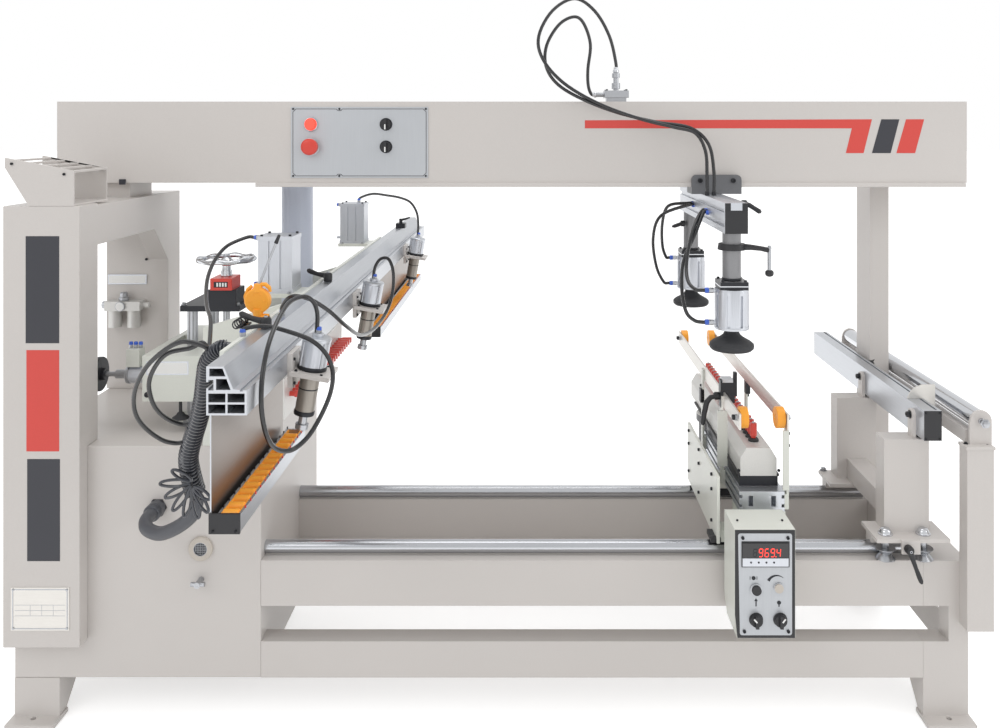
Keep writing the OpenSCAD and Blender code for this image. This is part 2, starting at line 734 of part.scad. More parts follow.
module carriage_arms() {
    post_w = 24;
    near_y = [front + 194, front + 20];
    far_y = front + 480;
    color(alu)
        for (side = [0, 1]) {
            x = arm_x[side] + (side == 0 ? -1 : 1) * (arm_wheel_w / 2 + 1);
            x0 = side == 0 ? x - arm_t : x;
            block([x0, x0 + arm_t], arm_y, [work_z - 52, work_z - 10]);
            for (y = arm_wheel_y) {
                rod_x([x0, x0 + arm_t], y, work_z - arm_wheel_d / 2, 36);
                rod_x([side == 0 ? x0 : arm_x[side] - arm_wheel_w / 2 + 2,
                    side == 0 ? arm_x[side] + arm_wheel_w / 2 - 2 : x0 + arm_t], y, work_z - arm_wheel_d / 2, axle_d);
            }
        }
    color("whitesmoke")
        for (side = [0, 1]) {
            dir = side == 0 ? -1 : 1;
            x = arm_x[side] + dir * (arm_wheel_w / 2 + 1 + arm_t);
            x0 = side == 0 ? x - 6 : x;
            for (y = [near_y[side], far_y]) {
                block([x0, x0 + 6], [y - post_w / 2, y + post_w / 2], [slot_z + 4, work_z - 20]);
                block([min(x0, head_x + dir * 60), max(x0 + 6, head_x + dir * 60)],
                    [y - post_w / 2, y + post_w / 2], [slot_z + 4, slot_z + 44]);
            }
            flange_y = near_y[side] - post_w / 2;
            flange_x = side == 0 ? [x0 - 12, head_x - gearbox_w / 2 - 6] : [head_x + gearbox_w / 2 + 6, x0 + 6];
            block(flange_x, [flange_y - 4, flange_y + 1], [plinth_z + 4, work_z - 60]);
        }
}

module arm_wheel(side, end) {
    x = arm_x[side];
    y = arm_wheel_y[end];
    z = work_z - arm_wheel_d / 2;
    color(orange)
        difference() {
            rod_x([x - arm_wheel_w / 2, x + arm_wheel_w / 2], y, z, arm_wheel_d);
            rod_x([x - arm_wheel_w, x + arm_wheel_w], y, z, axle_d + 2 * run_gap);
        }
}

chuck_z = [gearbox_z[1], gearbox_z[1] + 49];

module spindle(z) {
    rod_z(0, 0, [z[0] + 0, z[0] + 14], chuck_d - 5);
    rod_z(0, 0, [z[0] + 14, z[1]], chuck_d);
}

drive_index = floor(spindles / 2);

module gearbox() {
    drive_y = head_y[0] + 41.5 + pitch / 2 + drive_index * pitch;
    half_w = gearbox_w / 2;
    color(alu)
        difference() {
            union() {
                plate_xz([[head_x - half_w, gearbox_z[0]], [head_x + half_w, gearbox_z[0]],
                    [head_x + half_w, gearbox_z[1] - 28], [head_x + half_w - 17, gearbox_z[1]],
                    [head_x - half_w + 17, gearbox_z[1]], [head_x - half_w, gearbox_z[1] - 28]], head_y);
                for (y = feed_rod_y) rod_z(head_x, y, [gearbox_z[0] - rod_reach, gearbox_z[0] + 1], guide_d);
            }
            rod_z(head_x, drive_y, [gearbox_z[1] - 30, gearbox_z[1] + 1], 12 + 2 * run_gap);
        }
    color("dimgray") {
        rod_z(head_x, motor_y, [gearbox_z[0] - 22, gearbox_z[0]], motor_d);
        rod_z(head_x, motor_y, [gearbox_z[0] - 190, gearbox_z[0] - 22], motor_d - 16);
        rod_z(head_x, motor_y, [gearbox_z[0] - 225, gearbox_z[0] - 190], motor_d - 6);
    }
}

module drill_chucks() {
    color(red)
        for (i = [0 : spindles - 1])
            if (i != drive_index)
                translate([head_x, head_y[0] + 41.5 + pitch / 2 + i * pitch, 0]) spindle(chuck_z);
}

module drive_spindle() {
    color(red)
        translate([head_x, head_y[0] + 41.5 + pitch / 2 + drive_index * pitch, 0]) {
            rod_z(0, 0, [gearbox_z[1] - 29, gearbox_z[1] + 2], 12);
            rod_z(0, 0, [chuck_z[0] + seat_gap, chuck_z[0] + 14], chuck_d - 5);
            rod_z(0, 0, [chuck_z[0] + 14, chuck_z[1]], chuck_d);
        }
}

// Display box on the front of the carriage
display_x = [head_x - 108, head_x - 108 + display_w];
display_y = front - 150;
display_depth = 120;
display_z = [bed_top + 148 - display_h, bed_top + 148];
button_x = display_x[0] + 53;
button_z = display_z[0] + 122;
knob_x = [display_x[0] + 53, display_x[0] + 113];
knob_z = display_z[0] + 47;

module display_box() {
    color(black) {
        difference() {
            plate_xz([[display_x[0] + 6, display_z[0]], [display_x[1], display_z[0]], [display_x[1], display_z[1]],
                [display_x[0], display_z[1]], [display_x[0], display_z[0] + 60]], [display_y, display_y + display_depth]);
            plate_xz([[display_x[0] + 10, display_z[0] + 4], [display_x[1] - 4, display_z[0] + 4],
                [display_x[1] - 4, display_z[1] - 4], [display_x[0] + 4, display_z[1] - 4],
                [display_x[0] + 4, display_z[0] + 60]], [display_y + 4, display_y + display_depth - 4]);
            rod_y(button_x, [display_y - 1, display_y + 5], button_z, 12 + 2 * run_gap);
            for (x = knob_x) rod_y(x, [display_y - 1, display_y + 5], knob_z, 8 + 2 * run_gap);
        }
        block([head_x - 40, head_x + 20], [display_y + 4, rail_front_y - 40], [slot_z - 10, slot_z - 2]);
        block([head_x - 40, head_x + 20], [rail_front_y - 46, rail_front_y - 40], [slot_z - 60, slot_z - 2]);
    }
    color("whitesmoke")
        difference() {
            block([display_x[0] + 17, display_x[0] + 136], [display_y - 3, display_y],
                [display_z[0] + 179, display_z[0] + 241]);
            block([display_x[0] + 25, display_x[0] + 128], [display_y - 4, display_y - 1],
                [display_z[0] + 200, display_z[0] + 234]);
        }
    color("beige") rod_y(display_x[0] + 109, [display_y - 9, display_y], button_z + 4, 22);
}

module push_button() {
    color(black) {
        rod_y(button_x, [display_y - 6, display_y + 3.5], button_z, 12);
        rod_y(button_x, [display_y - 12, display_y - 6], button_z, 24);
    }
}

module panel_knob(x) {
    color(black) {
        rod_y(x, [display_y - 8, display_y + 3.5], knob_z, 8);
        rod_y(x, [display_y - 12, display_y - seat_gap], knob_z, knob_d);
        block([x - 4, x + 4], [display_y - 20, display_y - 11], [knob_z - knob_d / 2, knob_z + knob_d / 2]);
    }
}

// Clamp carriage under the beam
press_x = head_x - 78;
press_arm_w = 60;
press_arm_h = 80;
press_arm_y = [front - 35, back + 40];
press_arm_z = beam_z - lip_h - 20 - press_arm_h;
press_y = [front + 20, back];
press_rod_d = 20;
press_body_z = [press_arm_z - 258, press_arm_z - 151];

module clamp_carriage() {
    plate_x = [press_x - 58, press_x + 90];
    plate_r = 15;
    color([0.25, 0.26, 0.28]) {
        plate_xz(concat([[plate_x[0], beam_z - lip_h - 20], [plate_x[1], beam_z - lip_h - 20]],
            [for (a = [0 : 15 : 90]) [plate_x[1] - plate_r + plate_r * cos(a), beam_z + 25 - plate_r + plate_r * sin(a)]],
            [for (a = [90 : 15 : 180]) [plate_x[0] + plate_r + plate_r * cos(a), beam_z + 25 - plate_r + plate_r * sin(a)]]),
            [lip_y[0] - 12, lip_y[0] - seat_gap]);
        block(plate_x, [lip_y[0] - 12, lip_y[1] + 20], [beam_z - lip_h - 20, beam_z - lip_h - seat_gap]);
        block(plate_x, [lip_y[1] + seat_gap, lip_y[1] + 20], [beam_z - lip_h - 20, beam_z - seat_gap]);
    }
    color(alu) {
        difference() {
            block([press_x - press_arm_w / 2, press_x + press_arm_w / 2], press_arm_y,
                [press_arm_z, press_arm_z + press_arm_h]);
            for (side = [-1, 1], z = [press_arm_z + 16, press_arm_z + 54])
                block([press_x + side * press_arm_w / 2 - 5, press_x + side * press_arm_w / 2 + 5],
                    [press_arm_y[0] + 6, press_arm_y[1] + 1], [z, z + 10]);
        }
    }
    color(black) block([press_x - press_arm_w / 2, press_x + press_arm_w / 2], [press_arm_y[0] - 4, press_arm_y[0]],
        [press_arm_z, press_arm_z + press_arm_h]);
    for (y = press_y) {
        color([0.22, 0.22, 0.24]) {
            rod_z(press_x, y, [press_body_z[1] + 20, press_arm_z], 49);
            block([press_x - 37, press_x + 37], [y - 37, y + 37], [press_body_z[1], press_body_z[1] + 21]);
        }
        color("silver")
            difference() {
                rod_z(press_x, y, press_body_z, 90);
                rod_z(press_x, y, [press_body_z[0] - 1, press_body_z[1] - 6], press_rod_d + 2 * run_gap);
                for (a = [0 : 45 : 315])
                    translate([press_x, y, 0]) rotate([0, 0, a + 22.5])
                        block([41, 50], [-4, 4], [press_body_z[0] - 1, press_body_z[1] - 14]);
            }
        color("silver") for (z = [press_body_z[0] + 16, press_body_z[1] - 6])
            rod_x([press_x - 62, press_x - 40], y, z, 12);
    }
}

press_foot_d = 118;
module press_rod(y) {
    color("silver") rod_z(press_x, y, [press_body_z[0] - 34, press_body_z[1] - 10], press_rod_d);
    color(black) {
        rod_z(press_x, y, [press_body_z[0] - 32, press_body_z[0] - 2], 52);
        translate([press_x, y, press_body_z[0] - 58])
            rotate_extrude() polygon([[0, 0], [press_foot_d / 2 - 8, 0], [press_foot_d / 2, 5], [press_foot_d / 2, 16],
                [press_foot_d / 2 - 14, 24], [24, 28], [0, 28]]);
    }
}

module clamp_crank() {
    z = press_arm_z - 48;
    translate([press_x, press_y[0], z])
        color(black) {
            difference() {
                union() {
                    cylinder(h = 16, d = 74);
                    rotate([0, 0, -20]) translate([30, -8, 2]) cube([78, 16, 12]);
                }
                translate([0, 0, -1]) cylinder(h = 18, d = 49 + 2 * run_gap);
            }
            rotate([0, 0, -20]) translate([98, 0, -54]) cylinder(h = 60, d = 10);
            rotate([0, 0, -20]) translate([98, 0, -66]) cylinder(h = 16, d = 22);
        }
}

// Left boring head: columns, height slide and feed
guide_x = cabinet_right - 265;
column_d = 30;
bridge_z = [1041, 1057];
slide_x = [cabinet_right - 365, cabinet_right - 140];
slide_y = [front + 120, back - 120];
slide_mid = (slide_y[0] + slide_y[1]) / 2;
guide_y = [slide_mid - 90, slide_mid + 90];
slide_z = [807, 934];
left_motor_d = 104;
motor_room = 10;
slide_box = (slide_y[1] - slide_y[0] - left_motor_d) / 2 - motor_room;
left_rod_y = [guide_y[0] - 50, guide_y[1] + 50];
left_rod_z = 868;
screw_x = cabinet_right - 170;
screw_y = slide_y[0] + slide_box - 18;
screw_d = 20;
wheel_top = 1186;
left_box_x = [cabinet_right - 50, cabinet_right + 50];
left_box_z = [780, 890];
left_spindle_z = work_z + 11;
feed_cyl_x = [slide_x[0] - 65, slide_x[0]];

module head_guide() {
    color("silver") for (y = guide_y) rod_z(guide_x, y, [cabinet_top, bridge_z[0]], column_d);
    color(green_paint) for (y = guide_y) rod_z(guide_x, y, [cabinet_top, cabinet_top + 18], 70);
    color(black) {
        difference() {
            block([guide_x - 26, screw_x + 50], [guide_y[0] - 30, guide_y[1] + 30], bridge_z);
            rod_z(screw_x, screw_y, [bridge_z[0] - 1, bridge_z[1] + 1], screw_d + 2 * run_gap);
        }
        difference() {
            block([screw_x - 40, screw_x + 40], [screw_y - 40, screw_y + 40], [bridge_z[1], bridge_z[1] + 46]);
            rod_z(screw_x, screw_y, [bridge_z[1] - 1, bridge_z[1] + 47], screw_d + 2 * run_gap);
        }
    }
    color(red)
        difference() {
            block([screw_x - 31, screw_x + 31], [screw_y - 50, screw_y + 30], [bridge_z[1] + 46, bridge_z[1] + 80]);
            rod_z(screw_x, screw_y, [bridge_z[1] + 45, bridge_z[1] + 81], screw_d + 2 * run_gap);
        }
}

module handwheel() {
    rim_r = 78;
    color("silver") {
        rod_z(screw_x, screw_y, [slide_z[0] + 20, wheel_top + 16], screw_d);
        translate([screw_x, screw_y, bridge_z[1] + 80 + seat_gap]) cylinder(h = wheel_top - bridge_z[1] - 70, d = 32);
        translate([screw_x, screw_y, wheel_top])
            rotate_extrude() translate([rim_r, 0]) circle(d = 14);
        for (a = [30 : 120 : 270])
            translate([screw_x, screw_y, wheel_top]) rotate([0, 0, a]) rotate([0, 90, 0])
                translate([0, 0, 13]) cylinder(h = rim_r - 15, d = 9);
    }
}

module height_slide() {
    color(green_paint)
        difference() {
            union() {
                block(slide_x, [slide_y[0], slide_y[0] + slide_box], slide_z);
                block(slide_x, [slide_y[1] - slide_box, slide_y[1]], slide_z);
                block([slide_x[0], slide_x[0] + 20], slide_y, slide_z);
                block([slide_x[0] + 60, slide_x[0] + 140], slide_y, [slide_z[1] - 24, slide_z[1]]);
                block([slide_x[0] - 62, slide_x[0] - 25], [left_rod_y[0] - 20, left_rod_y[0] + 20],
                    [left_rod_z + 24, slide_z[1] + 8]);
            }
            for (y = guide_y) rod_z(guide_x, y, [slide_z[0] - 1, slide_z[1] + 1], column_d + 2 * run_gap);
            for (y = left_rod_y) rod_x([slide_x[0] - 1, slide_x[1] + 1], y, left_rod_z, guide_d + 2 * run_gap);
            rod_z(screw_x, screw_y, [slide_z[0] - 1, slide_z[1] + 1], screw_d + 2 * run_gap);
        }
    color("silver")
        difference() {
            rod_x(feed_cyl_x, left_rod_y[0], left_rod_z, 50);
            rod_x([feed_cyl_x[0] - 1, feed_cyl_x[1] + 1], left_rod_y[0], left_rod_z, guide_d + 2 * run_gap);
        }
}

knob_shaft_x = slide_x[0] - 136;
module left_gearbox() {
    rear_x = slide_x[0] - 20;
    color(alu) {
        block(left_box_x, head_y, left_box_z);
        rod_x([rear_x, left_box_x[0] + 1], left_rod_y[1], left_rod_z, guide_d);
        rod_x([slide_x[0] - 98, left_box_x[0] + 1], left_rod_y[0], left_rod_z, guide_d);
        rod_x([knob_shaft_x - 26, slide_x[0] - 97], left_rod_y[0], left_rod_z, 14);
    }
    color("dimgray")
        rod_x([left_box_x[0] - 200, left_box_x[0]], slide_mid, left_spindle_z, left_motor_d);
    color(red)
        for (i = [0 : spindles - 1])
            translate([left_box_x[1], head_y[0] + 41.5 + pitch / 2 + i * pitch, left_spindle_z])
                rotate([0, 90, 0]) spindle([0, 45]);
}

module depth_knob() {
    color([0.20, 0.19, 0.18])
        difference() {
            union() {
                rod_x([knob_shaft_x - 16, knob_shaft_x - 4], left_rod_y[0], left_rod_z, 96);
                rod_x([knob_shaft_x - 24, knob_shaft_x + 8], left_rod_y[0], left_rod_z, 34);
            }
            rod_x([knob_shaft_x - 25, knob_shaft_x + 10], left_rod_y[0], left_rod_z, 14 + 2 * run_gap);
        }
}

// Air gun hung on the bracket behind the fence
gun_x = fence_x - 26;
gun_y = front - 240;
gun_z = fence_top + 48;
module air_gun() {
    color(orange) {
        translate([gun_x, gun_y, gun_z]) rotate([90, 0, 0]) cylinder(h = 22, d = 62, center = true);
        translate([gun_x, gun_y, gun_z - 26]) cylinder(h = 60, d = 18);
        block([gun_x - 9, gun_x + 9], [gun_y - 9, gun_y + 9], [gun_z - 44, gun_z - 20]);
        block([gun_x + 8, gun_x + 26], [gun_y - 9, gun_y + 9], [gun_z - 43.7, gun_z - 36]);
        block([gun_x - 9, gun_x + 26], [gun_y - 9, gun_y + 9], [gun_z - 44, gun_z - 36]);
    }
    color("silver") translate([gun_x, gun_y, gun_z + 30]) rotate([0, 22, 0]) cylinder(h = 120, d = 6);
    color(black) translate([gun_x, gun_y, gun_z + 30]) rotate([0, 22, 0]) translate([0, 0, 116]) cylinder(h = 20, d = 10);
}

// Smooth path through hand-set points
function spline_at(a, b, c, d, t) =
    0.5 * (2 * b + (c - a) * t + (2 * a - 5 * b + 4 * c - d) * t * t + (3 * b - a - 3 * c + d) * t * t * t);
function smooth(p, n) = [
    for (i = [0 : len(p) - 2], k = [0 : n - 1])
        spline_at(p[max(i - 1, 0)], p[i], p[i + 1], p[min(i + 2, len(p) - 1)], k / n),
    p[len(p) - 1]
];
function unit(v) = v / norm(v);
function tangent(p, i) = unit(p[min(i + 1, len(p) - 1)] - p[max(i - 1, 0)]);
function turned(n, t) = unit(n - (n * t) * t);
function normals(p, i = 0, n = [0.3, 0.9, 0.2]) =
    i >= len(p) ? [] : let (m = turned(n, tangent(p, i))) concat([m], normals(p, i + 1, m));
function ring(c, t, n, r, sides) = [
    for (k = [0 : sides - 1]) let (a = 360 * k / sides) c + r * (cos(a) * n + sin(a) * cross(t, n))
];

// Tube swept along a path, its radius given for each point
module tube(p, radii, sides = 8) {
    n = normals(p);
    last = len(p) - 1;
    pts = [for (i = [0 : last]) each ring(p[i], tangent(p, i), n[i], radii[i], sides)];
    walls = [
        for (i = [0 : last - 1], k = [0 : sides - 1])
            let (a = i * sides + k, b = i * sides + (k + 1) % sides)
                each [[a, b, b + sides], [a, b + sides, a + sides]]
    ];
    near_cap = [for (k = [1 : sides - 2]) [0, k + 1, k]];
    far_cap = [for (k = [1 : sides - 2]) [last * sides, last * sides + k, last * sides + k + 1]];
    polyhedron(points = pts, faces = [for (f = concat(walls, near_cap, far_cap)) [f[2], f[1], f[0]]]);
}
function flat_radii(p, r) = [for (q = p) r];

// Routes of the conduit, the wrapped bundle and the hoses
conduit_route = [
    [-883, -347.8, 563], [-883, -372, 563], [-881, -402, 560], [-864, -430, 553], [-823, -455, 553],
    [-779, -475, 574], [-742.5, -488, 601], [-721, -496, 628], [-714.2, -500, 662.5]
];
bundle_route = [
    [-714.2, -500, 662.5], [-719.1, -520, 711.9], [-716.5, -550, 776.1], [-691.1, -590, 837.5],
    [-658.9, -640, 900.3], [-632, -690, 961], [-611.6, -735, 1018.1], [-590.6, -776, 1066],
    [-556, -806, 1099], [-532.5, -806, 1100]
];
beam_hose_outer = [
    [368, 94, 1738.8], [367.5, 93, 1770], [346, 76, 1850], [300, 60, 1925], [238, 40, 1960],
    [170, 10, 1920], [128, -20, 1840], [140, -40, 1770], [200, -52, 1700], [300, -58, 1640],
    [420, -62, 1595], [520, -66, 1570], [584, -72, 1552], [612, -80, 1500], [616, -84, 1430],
    [616, -84, 1371.4]
];
beam_hose_inner = [
    [307.4, 94, 1670], [292, 94, 1672], [282, 91, 1700], [281, 88, 1750], [288, 80, 1825], [266, 64, 1888],
    [236, 50, 1906], [190, 30, 1880], [152, 5, 1815], [150, -20, 1750], [185, -40, 1695], [260, -50, 1650],
    [360, -54, 1612], [470, -56, 1585], [570, -62, 1568], [622, -76, 1520], [636, -84, 1440],
    [636, -84, 1371.4]
];
fence_hose_near = [
    [-386, -650, 1100.6], [-384, -652, 1140], [-390, -662, 1170], [-406, -686, 1188], [-426, -735, 1184],
    [-433, -800, 1160], [-434, -870, 1122], [-434, -912, 1070], [-433, -922, 1010], [-430, -900, 950],
    [-422, -862, 908], [-400, -822, 890], [-372, -795, 908], [-350, -765, 945], [-337, -730, 985],
    [-336, -712, 1025], [-350, -712, 1064], [-382, -716, 1096], [-430, -720, 1116], [-480, -726, 1130],
    [-522, -741, 1128], [-526, -744, 1113.6]
];
fence_hose_middle = [
    [-386, 110, 1100.6], [-380, 110, 1135], [-362, 104, 1160], [-336, 90, 1162], [-318, 66, 1130],
    [-314, 40, 1080], [-320, 0, 1035], [-332, -75, 1006], [-342, -190, 1000], [-350, -320, 1020],
    [-362, -430, 1066], [-390, -505, 1120], [-430, -535, 1154], [-474, -532, 1160], [-504, -504, 1130],
    [-505, -500, 1108.7]
];
fence_hose_rear = [
    [-386, 1245, 1100.6], [-384, 1245, 1150], [-390, 1240, 1200], [-415, 1225, 1245], [-455, 1190, 1268],
    [-505, 1140, 1282], [-555, 1085, 1292], [-596, 1030, 1280], [-600, 1022, 1264.6]
];
cylinder_hose = [
    [-681.7, -140, 1256], [-702, -143, 1256.5], [-738, -200, 1240], [-744, -280, 1214], [-732, -370, 1184],
    [-706, -460, 1158], [-672, -550, 1138], [-634.2, -633.8, 1122], [-599.9, -743.5, 1081.6],
    [-598, -755, 1070.6]
];
end_hose_outer = [
    [-583, -802.3, 1098.6], [-595.1, -807.5, 1107.6], [-630, -814, 1116], [-670.9, -800, 1097.6],
    [-721.6, -775, 1055.4], [-757.1, -745, 1006.4], [-777, -715, 960.5], [-780.1, -690, 918.3],
    [-770.2, -660, 880.4], [-750, -625, 844.7], [-731.2, -598.1, 828.3], [-716.9, -591, 827]
];
end_hose_inner = [
    [-585.7, -794.9, 1098.3], [-596.7, -796.1, 1109.9], [-622, -794, 1098], [-672.3, -785, 1085.2],
    [-707.6, -765, 1052.9], [-732.5, -740, 1009.6], [-737.3, -715, 965.2], [-733, -690, 931.8],
    [-721.4, -660, 903.2], [-702.3, -638.8, 886.1], [-687.6, -632.7, 884.2]
];
press_hose_1 = [
    [609.9, -110, 1330], [598, -110, 1330], [572, -150, 1302], [548, -190, 1250], [532, -226, 1190],
    [530, -266, 1152], [544, -296, 1136], [563, -300, 1134], [577.9, -300, 1134]
];
press_hose_2 = [
    [609.9, -132, 1326], [597, -132, 1326], [562, -176, 1262], [528, -206, 1200], [516, -246, 1130],
    [520, -288, 1076], [540, -300, 1054], [563, -300, 1049], [577.9, -300, 1049]
];
press_hose_3 = [
    [609.9, 120, 1332], [594, 120, 1332], [540, 160, 1320], [530, 220, 1260], [540, 290, 1180],
    [556, 318, 1137], [566, 320, 1134], [577.9, 320, 1134]
];
press_hose_4 = [
    [609.9, 98, 1328], [592, 98, 1328], [515, 150, 1290], [500, 220, 1210], [520, 290, 1110],
    [548, 318, 1054], [564, 320, 1049], [577.9, 320, 1049]
];

module cable_run() {
    color([0.28, 0.29, 0.31]) {
        cable = smooth(conduit_route, 2);
        tube(cable, flat_radii(cable, 17), 12);
        wrap = smooth(bundle_route, 8);
        wrap_end = len(wrap) - 1;
        tube(wrap, [for (i = [0 : wrap_end])
            i < 3 || i > wrap_end - 3 ? 13 : 24 - 9 * i / wrap_end + (i % 2 == 0 ? 2 : -2)], 10);
    }
}

module hose(route, n) {
    path = smooth(route, n);
    tube(path, flat_radii(path, 5), 8);
}

module air_hoses() {
    color(black) {
        hose(fence_hose_near, 1);
        hose(fence_hose_middle, 1);
        hose(fence_hose_rear, 1);
        hose(cylinder_hose, 1);
        hose(end_hose_outer, 1);
        hose(end_hose_inner, 1);
    }
}

module beam_hoses() {
    color(black) {
        hose(beam_hose_outer, 1);
        hose(beam_hose_inner, 1);
    }
}

module press_hoses() {
    color(black) {
        hose(press_hose_1, 1);
        hose(press_hose_2, 1);
        hose(press_hose_3, 1);
        hose(press_hose_4, 1);
    }
}

base_frame();
cabinet();
left_portal();
slatted_tray();
nameplate();
top_beam();
beam_supports();
control_panel();
panel_lamp();
guide_rails();
fence_rail();
fence_brackets();
fence_cylinders();
roller_tracks();
track_rollers();
clamp_bodies();
roller_frame();
air_fittings();
head_guide();
air_gun();
cable_run();
air_hoses();
beam_hoses();
stop_button();
selector(row_high);  // selector_upper
selector(row_low);  // selector_lower
clamp_rod(clamp_y[0]);  // clamp_rod_front
clamp_rod(clamp_y[1]);  // clamp_rod_middle
clamp_rod(clamp_y[2]);  // clamp_rod_rear
fence_lever(lever_y[0]);  // fence_lever_front
fence_lever(lever_y[1]);  // fence_lever_middle
side_roller();
stand_frame();
stand_bar();
v_wheel(wheel_x[0]);  // v_wheel_left
v_wheel(wheel_x[1]);  // v_wheel_right
stand_lever();
bar_stop();
carriage_base();
carriage_arms();
arm_wheel(0, 0);  // arm_wheel_1
arm_wheel(1, 0);  // arm_wheel_2
arm_wheel(0, 1);  // arm_wheel_3
arm_wheel(1, 1);  // arm_wheel_4
gearbox();
drill_chucks();
drive_spindle();
display_box();
push_button();
panel_knob(knob_x[0]);  // knob_left
panel_knob(knob_x[1]);  // knob_right
clamp_carriage();
press_hoses();
press_rod(press_y[0]);  // press_rod_near
press_rod(press_y[1]);  // press_rod_far
clamp_crank();
height_slide();
left_gearbox();
handwheel();
depth_knob();
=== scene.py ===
import json
import math
from itertools import product

import bmesh
import bpy
from mathutils import Matrix, Vector


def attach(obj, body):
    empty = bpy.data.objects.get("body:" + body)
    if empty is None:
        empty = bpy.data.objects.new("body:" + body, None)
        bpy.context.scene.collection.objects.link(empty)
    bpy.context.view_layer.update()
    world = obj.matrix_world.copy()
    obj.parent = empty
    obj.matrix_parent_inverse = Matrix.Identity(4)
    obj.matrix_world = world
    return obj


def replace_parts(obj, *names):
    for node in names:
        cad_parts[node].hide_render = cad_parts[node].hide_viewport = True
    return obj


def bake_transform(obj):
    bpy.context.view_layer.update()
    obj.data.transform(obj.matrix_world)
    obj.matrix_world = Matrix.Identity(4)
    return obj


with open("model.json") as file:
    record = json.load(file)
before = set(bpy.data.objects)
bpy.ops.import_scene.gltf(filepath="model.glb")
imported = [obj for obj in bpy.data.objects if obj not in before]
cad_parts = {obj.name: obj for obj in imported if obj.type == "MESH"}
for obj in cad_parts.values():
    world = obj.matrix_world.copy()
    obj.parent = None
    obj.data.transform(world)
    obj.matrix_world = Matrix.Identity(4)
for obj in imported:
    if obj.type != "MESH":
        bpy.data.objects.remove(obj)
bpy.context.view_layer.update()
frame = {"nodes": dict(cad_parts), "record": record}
scene = bpy.context.scene
MM = 0.001

UP, DOWN = Vector((0, 0, 1)), Vector((0, 0, -1))
FRONT, BACK = Vector((0, -1, 0)), Vector((0, 1, 0))
LEFT, RIGHT = Vector((-1, 0, 0)), Vector((1, 0, 0))


def level(degrees):
    """Level direction, its angle counted from the right toward the back"""
    a = math.radians(degrees)
    return Vector((math.cos(a), math.sin(a), 0))


def upright(degrees):
    """Direction across the machine, its angle counted from the right upwards"""
    a = math.radians(degrees)
    return Vector((math.cos(a), 0, math.sin(a)))


# Camera at the photograph's viewpoint
WIDTH_PX, HEIGHT_PX = 1000, 728
LENS_PX = 920
AXIS_PX = (530, 128)
SENSOR = 36
camera_data = bpy.data.cameras.new("camera")
camera_data.sensor_width = SENSOR
camera_data.lens = SENSOR * LENS_PX / WIDTH_PX
camera_data.shift_x = (WIDTH_PX / 2 - AXIS_PX[0]) / WIDTH_PX
camera_data.shift_y = (AXIS_PX[1] - HEIGHT_PX / 2) / WIDTH_PX
camera_data.clip_end = 200
camera = bpy.data.objects.new("camera", camera_data)
camera.location = (0.102, -2.755, 1.567)
camera.rotation_euler = (math.radians(90), 0, 0)
scene.collection.objects.link(camera)
scene.camera = camera


def rgb(r, g, b):
    """Linear colour from the 0-255 values a screen shows"""
    out = []
    for v in (r / 255, g / 255, b / 255):
        out.append(v / 12.92 if v <= 0.04045 else ((v + 0.055) / 1.055) ** 2.4)
    return (*out, 1)


def wire(tree, node, inputs):
    """Set a node's inputs, each to a value or to the output that is linked to it; gives its outputs"""
    for key, value in inputs.items():
        if isinstance(value, bpy.types.NodeSocket):
            tree.links.new(value, node.inputs[key])
        else:
            node.inputs[key].default_value = value
    return node.outputs


def finish_of(
    name, shown, rough, metal=0, grain=(300, 300, 300), tint=0.05, bump=0.02, coat=0, spread=0.12, glow=0
):
    """Material with fine grain, slow colour drift, uneven gloss and a light relief"""
    colour = rgb(*shown)
    mat = bpy.data.materials.new(name)
    mat.use_nodes = True
    tree = mat.node_tree
    new = tree.nodes.new
    place = new("ShaderNodeTexCoord").outputs["Object"]
    stretched = wire(tree, new("ShaderNodeMapping"), {"Vector": place, "Scale": grain})["Vector"]
    fine = wire(tree, new("ShaderNodeTexNoise"), {"Vector": stretched, "Scale": 1, "Detail": 4})["Fac"]
    slow = wire(tree, new("ShaderNodeTexNoise"), {
        "Vector": place, "Scale": 2.5, "Detail": 5, "Roughness": 0.6,
    })["Fac"]
    both = new("ShaderNodeMath")
    both.operation = "ADD"
    drift = wire(tree, new("ShaderNodeMapRange"), {
        "Value": wire(tree, both, {0: fine, 1: slow})[0], "From Min": 0.6, "From Max": 1.4,
    })["Result"]
    mix = new("ShaderNodeMix")
    mix.data_type = "RGBA"
    darker = (*(max(0, c * (1 - tint)) for c in colour[:3]), 1)
    lighter = (*(min(1, c * (1 + tint)) for c in colour[:3]), 1)
    gloss = wire(tree, new("ShaderNodeMapRange"), {
        "Value": slow, "From Min": 0.3, "From Max": 0.7,
        "To Min": max(0.02, rough * (1 - spread)), "To Max": min(1, rough * (1 + spread)),
    })["Result"]
    relief = wire(tree, new("ShaderNodeBump"), {"Height": fine, "Strength": bump, "Distance": 0.001})
    shader = tree.nodes["Principled BSDF"]
    wire(tree, shader, {
        "Base Color": wire(tree, mix, {"Factor": drift, "A": darker, "B": lighter})["Result"],
        "Metallic": metal, "Roughness": gloss, "Normal": relief["Normal"],
        "Coat Weight": coat, "Coat Roughness": 0.12,
    })
    if glow:
        wire(tree, shader, {"Emission Color": colour, "Emission Strength": glow})
    return mat


